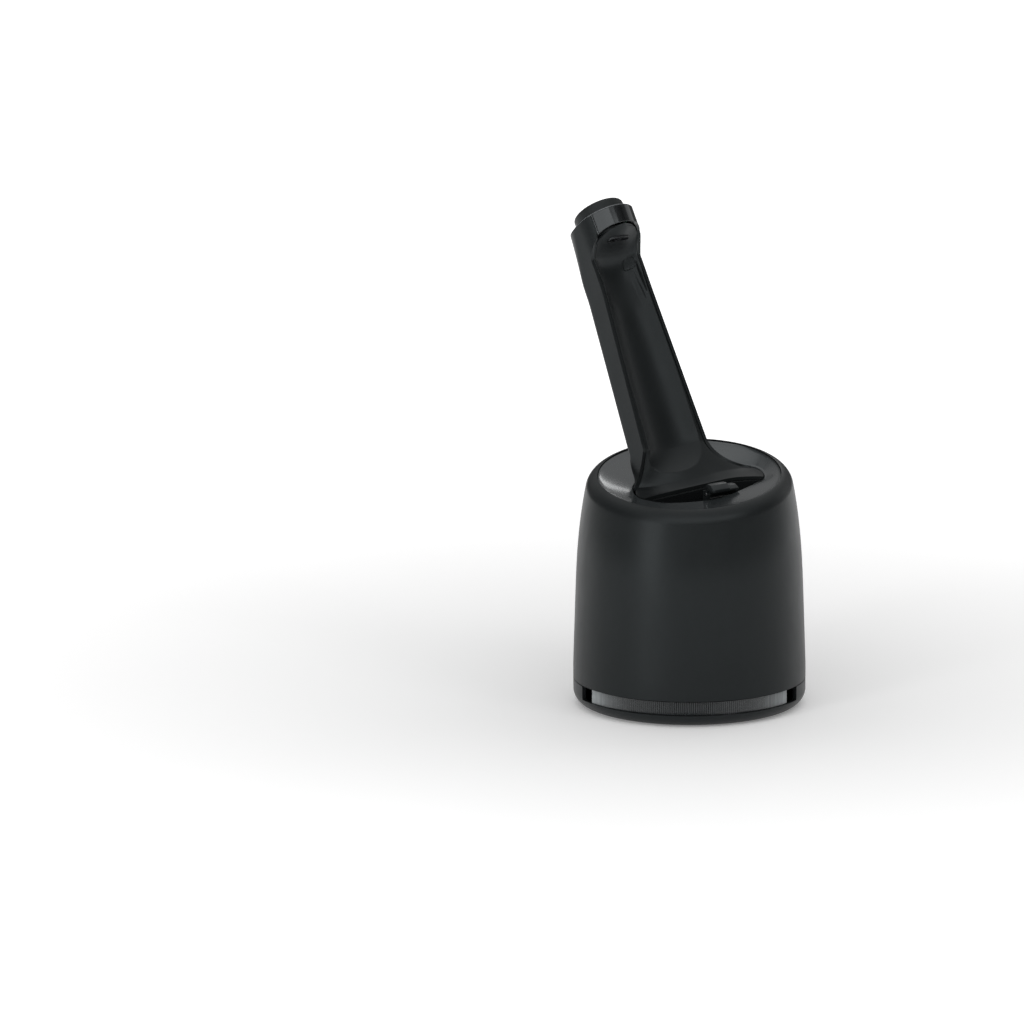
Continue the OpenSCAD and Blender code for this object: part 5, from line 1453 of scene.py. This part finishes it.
@dataclass
class Fittings:
    """The small and inner pieces, which keep the shapes of their CAD nodes."""

    softened: dict[str, tuple[Finish, float]] = field(default_factory=lambda: {
        "base_pan": (Finish.PAN, 0.3),
        "rubber_feet": (Finish.FOOT, 0.25),
        "cartridge_lid": (Finish.LID, 0.4),
        "cartridge_filter": (Finish.FELT, 0.5),
        "guide_posts": (Finish.STEEL, 0.4),
        "post_screws": (Finish.STEEL, 0.2),
        "latch_catch": (Finish.PAN, 0.25),
        "drain_grid": (Finish.STEEL, 0.12),
        "drain_spout": (Finish.BOWL, 0.2),
        "clip_bracket": (Finish.CLIP, 0.3),
        "clip_pin": (Finish.STEEL, 0.15),
        "inner_chassis": (Finish.INNER, 0.25),
        "chassis_screws": (Finish.STEEL, 0.15),
        "guide_sleeves": (Finish.BEARING, 0.25),
        "pump_motor": (Finish.MOTOR, 0.5),
        "pump_housing": (Finish.INNER, 0.25),
        "pump_shaft": (Finish.STEEL, 0.12),
        "impeller": (Finish.BEARING, 0.1),
        "suction_tube": (Finish.BEARING, 0.15),
        "feed_hose": (Finish.HOSE, 0.2),
        "control_board": (Finish.BOARD, 0.1),
        "button_board": (Finish.BOARD, 0.1),
        "power_socket": (Finish.SOCKET, 0.3),
        "socket_pins": (Finish.STEEL, 0.3),
        "latch_slider": (Finish.INNER, 0.2),
        "head_ceiling": (Finish.CEILING, 0.15)})
    kept: dict[str, Finish] = field(default_factory=lambda: {
        "cartridge_tank": Finish.SMOKY,
        "lift_springs": Finish.STEEL,
        "arm_leads": Finish.LEAD})

    def build(self, station: Station) -> None:
        """Softens or coats each node."""
        for node, (finish, edge) in self.softened.items():
            station.refine(node, finish, edge)
        for node, finish in self.kept.items():
            station.coat(node, finish)


# ---- studio -----------------------------------------------------------------


@dataclass(frozen=True)
class Softbox:
    """One soft light: where it stands, its size, its strength and its height of aim."""

    name: str
    azimuth: float
    elevation: float
    distance: float
    width: float
    height: float
    watts: float
    aim_z: float = 0.10


@dataclass
class Studio:
    """The pale floor, the soft lights and the camera at the photograph's angle."""

    frame_px: int = 1024
    target: Point = (0.0, 0.0, 0.115)
    target_px: Flat = (689.3, 491.5)
    elevation: float = 11.05
    distance: float = 2.5
    metres_per_px: float = 0.000534
    sensor: float = 36.0
    front_glow: float = 0.05
    back_glow: float = 0.5
    top_glow: float = 1.0
    seen_glow: float = 1.0
    back_edge: Flat = (0.0, 0.7)
    back_rise: Flat = (0.1, 0.5)
    low_share: float = 0.1
    top_edge: Flat = (0.6, 0.95)
    floor_size: float = 40.0
    floor_glow: float = 1.0
    glow_near: float = 0.1
    glow_far: float = 1.0
    boxes: tuple[Softbox, ...] = (
        Softbox("key", -39.0, 10.0, 1.3, 0.24, 0.8, 3.6),
        Softbox("rim", 128.0, 14.0, 1.3, 0.50, 0.9, 0.7),
        Softbox("front_top", -6.0, 42.0, 1.5, 1.5, 0.8, 6.0),
        Softbox("right_top", 46.0, 38.0, 1.5, 0.5, 0.6, 2.2),
        Softbox("hair", 168.0, 27.0, 1.6, 0.24, 0.18, 0.35))

    def build(self) -> None:
        """Sets the studio up."""
        self._floor()
        self._sky()
        for box in self.boxes:
            self._light(box)
        self._camera()

    def _floor(self) -> None:
        """Lays the floor, which glows more the further out it lies."""
        blank = Blank()
        bmesh.ops.create_grid(blank.bm, x_segments=8, y_segments=8, size=self.floor_size / 2)
        mesh = bpy.data.meshes.new("floor")
        blank.bm.to_mesh(mesh)
        floor = bpy.data.objects.new("floor", mesh)
        bpy.context.scene.collection.objects.link(floor)
        maker = NodeMaker(bpy.data.materials.new("pale_floor"))
        cloud = maker.noise(400.0, 2.0)
        tone = maker.blend(cloud, (0.86, 0.86, 0.86, 1), (0.9, 0.9, 0.9, 1))
        away = maker.node("ShaderNodeVectorMath", {"operation": "LENGTH"}, {0: maker.place()}, "Value")
        out = maker.limits(away, self.glow_near, self.glow_far)
        own = maker.blend(out, (0.2, 0.2, 0.2, 1), (0.9, 0.9, 0.9, 1))
        mesh.materials.append(maker.close(
            Base_Color=tone, Roughness=(cloud - 0.5) * 0.1 + 0.7,
            Emission_Color=own, Emission_Strength=self.floor_glow))

    def _sky(self) -> None:
        """Hangs the dome: bright behind and overhead, dark in front, and white where it is seen itself."""
        world = bpy.data.worlds.new("studio")
        maker = NodeMaker(world)
        away = maker.node("ShaderNodeTexCoord", out="Generated")
        behind = maker.limits(maker.node("ShaderNodeSeparateXYZ", None, {0: away}, "Y"), *self.back_edge)
        above = maker.limits(maker.node("ShaderNodeSeparateXYZ", None, {0: away}, "Z"), *self.top_edge)
        height = maker.node("ShaderNodeSeparateXYZ", None, {0: away}, "Z")
        lifted = maker.limits(height, *self.back_rise) * (1 - self.low_share) + self.low_share
        glow = behind * lifted * self.back_glow + self.front_glow
        glow = glow + above * self.top_glow
        seen = maker.node("ShaderNodeLightPath", out="Is Camera Ray")
        glow = glow * (1 - seen) + seen * self.seen_glow
        maker.end(maker.node("ShaderNodeBackground", None, {"Strength": glow}), "ShaderNodeOutputWorld")
        bpy.context.scene.world = world

    def _light(self, box: Softbox) -> None:
        """Hangs one soft light."""
        data = bpy.data.lights.new(box.name, "AREA")
        data.shape, data.size, data.size_y, data.energy = "RECTANGLE", box.width, box.height, box.watts
        light = bpy.data.objects.new(box.name, data)
        bpy.context.scene.collection.objects.link(light)
        away = self._away(box.azimuth, box.elevation)
        aim = Vector((0, 0, box.aim_z))
        light.location = aim + away * box.distance
        light.rotation_euler = (-away).to_track_quat("-Z", "Y").to_euler()

    @staticmethod
    def _away(azimuth: float, elevation: float) -> Vector:
        """Gives the direction out to an azimuth, 0 being the camera's side and 90 the right, and an elevation."""
        flat = cosine(elevation)
        return Vector((sine(azimuth) * flat, -cosine(azimuth) * flat, sine(elevation)))

    def _camera(self) -> None:
        """Sets the camera so that the target falls on its pixel."""
        focal_px = self.distance / self.metres_per_px
        data = bpy.data.cameras.new("camera")
        data.sensor_width, data.lens = self.sensor, focal_px / self.frame_px * self.sensor
        data.clip_start, data.clip_end = 0.1, 100.0
        camera = bpy.data.objects.new("camera", data)
        bpy.context.scene.collection.objects.link(camera)
        away = self._away(0.0, self.elevation)
        camera.location = Vector(self.target) + away * self.distance
        aim = (-away).to_track_quat("-Z", "Y").to_matrix().to_4x4()
        yaw = math.atan2(self.target_px[0] - self.frame_px / 2, focal_px)
        pitch = math.atan2(self.target_px[1] - self.frame_px / 2, focal_px)
        turned = aim @ Matrix.Rotation(yaw, 4, "Y") @ Matrix.Rotation(pitch, 4, "X")
        camera.rotation_euler = turned.to_euler()
        bpy.context.scene.camera = camera


def main() -> None:
    """Builds the station and its studio."""
    station = Station()
    housing = Housing()
    form = ArmForm(housing)
    housing.build(station)
    Dish(form).build(station)
    Clip(form).build(station)
    Arm(form).build(station)
    ContactBlock(form).build(station)
    Head(form).build(station)
    Release(housing).build(station)
    Fittings().build(station)
    Studio().build()
    bare = sorted(set(frame["nodes"]) - station.dressed)
    LOG.info("dressed %d nodes, bare: %s", len(station.dressed), bare)
    bpy.context.scene.view_settings.view_transform = "Standard"


if __name__ == "__main__":
    main()
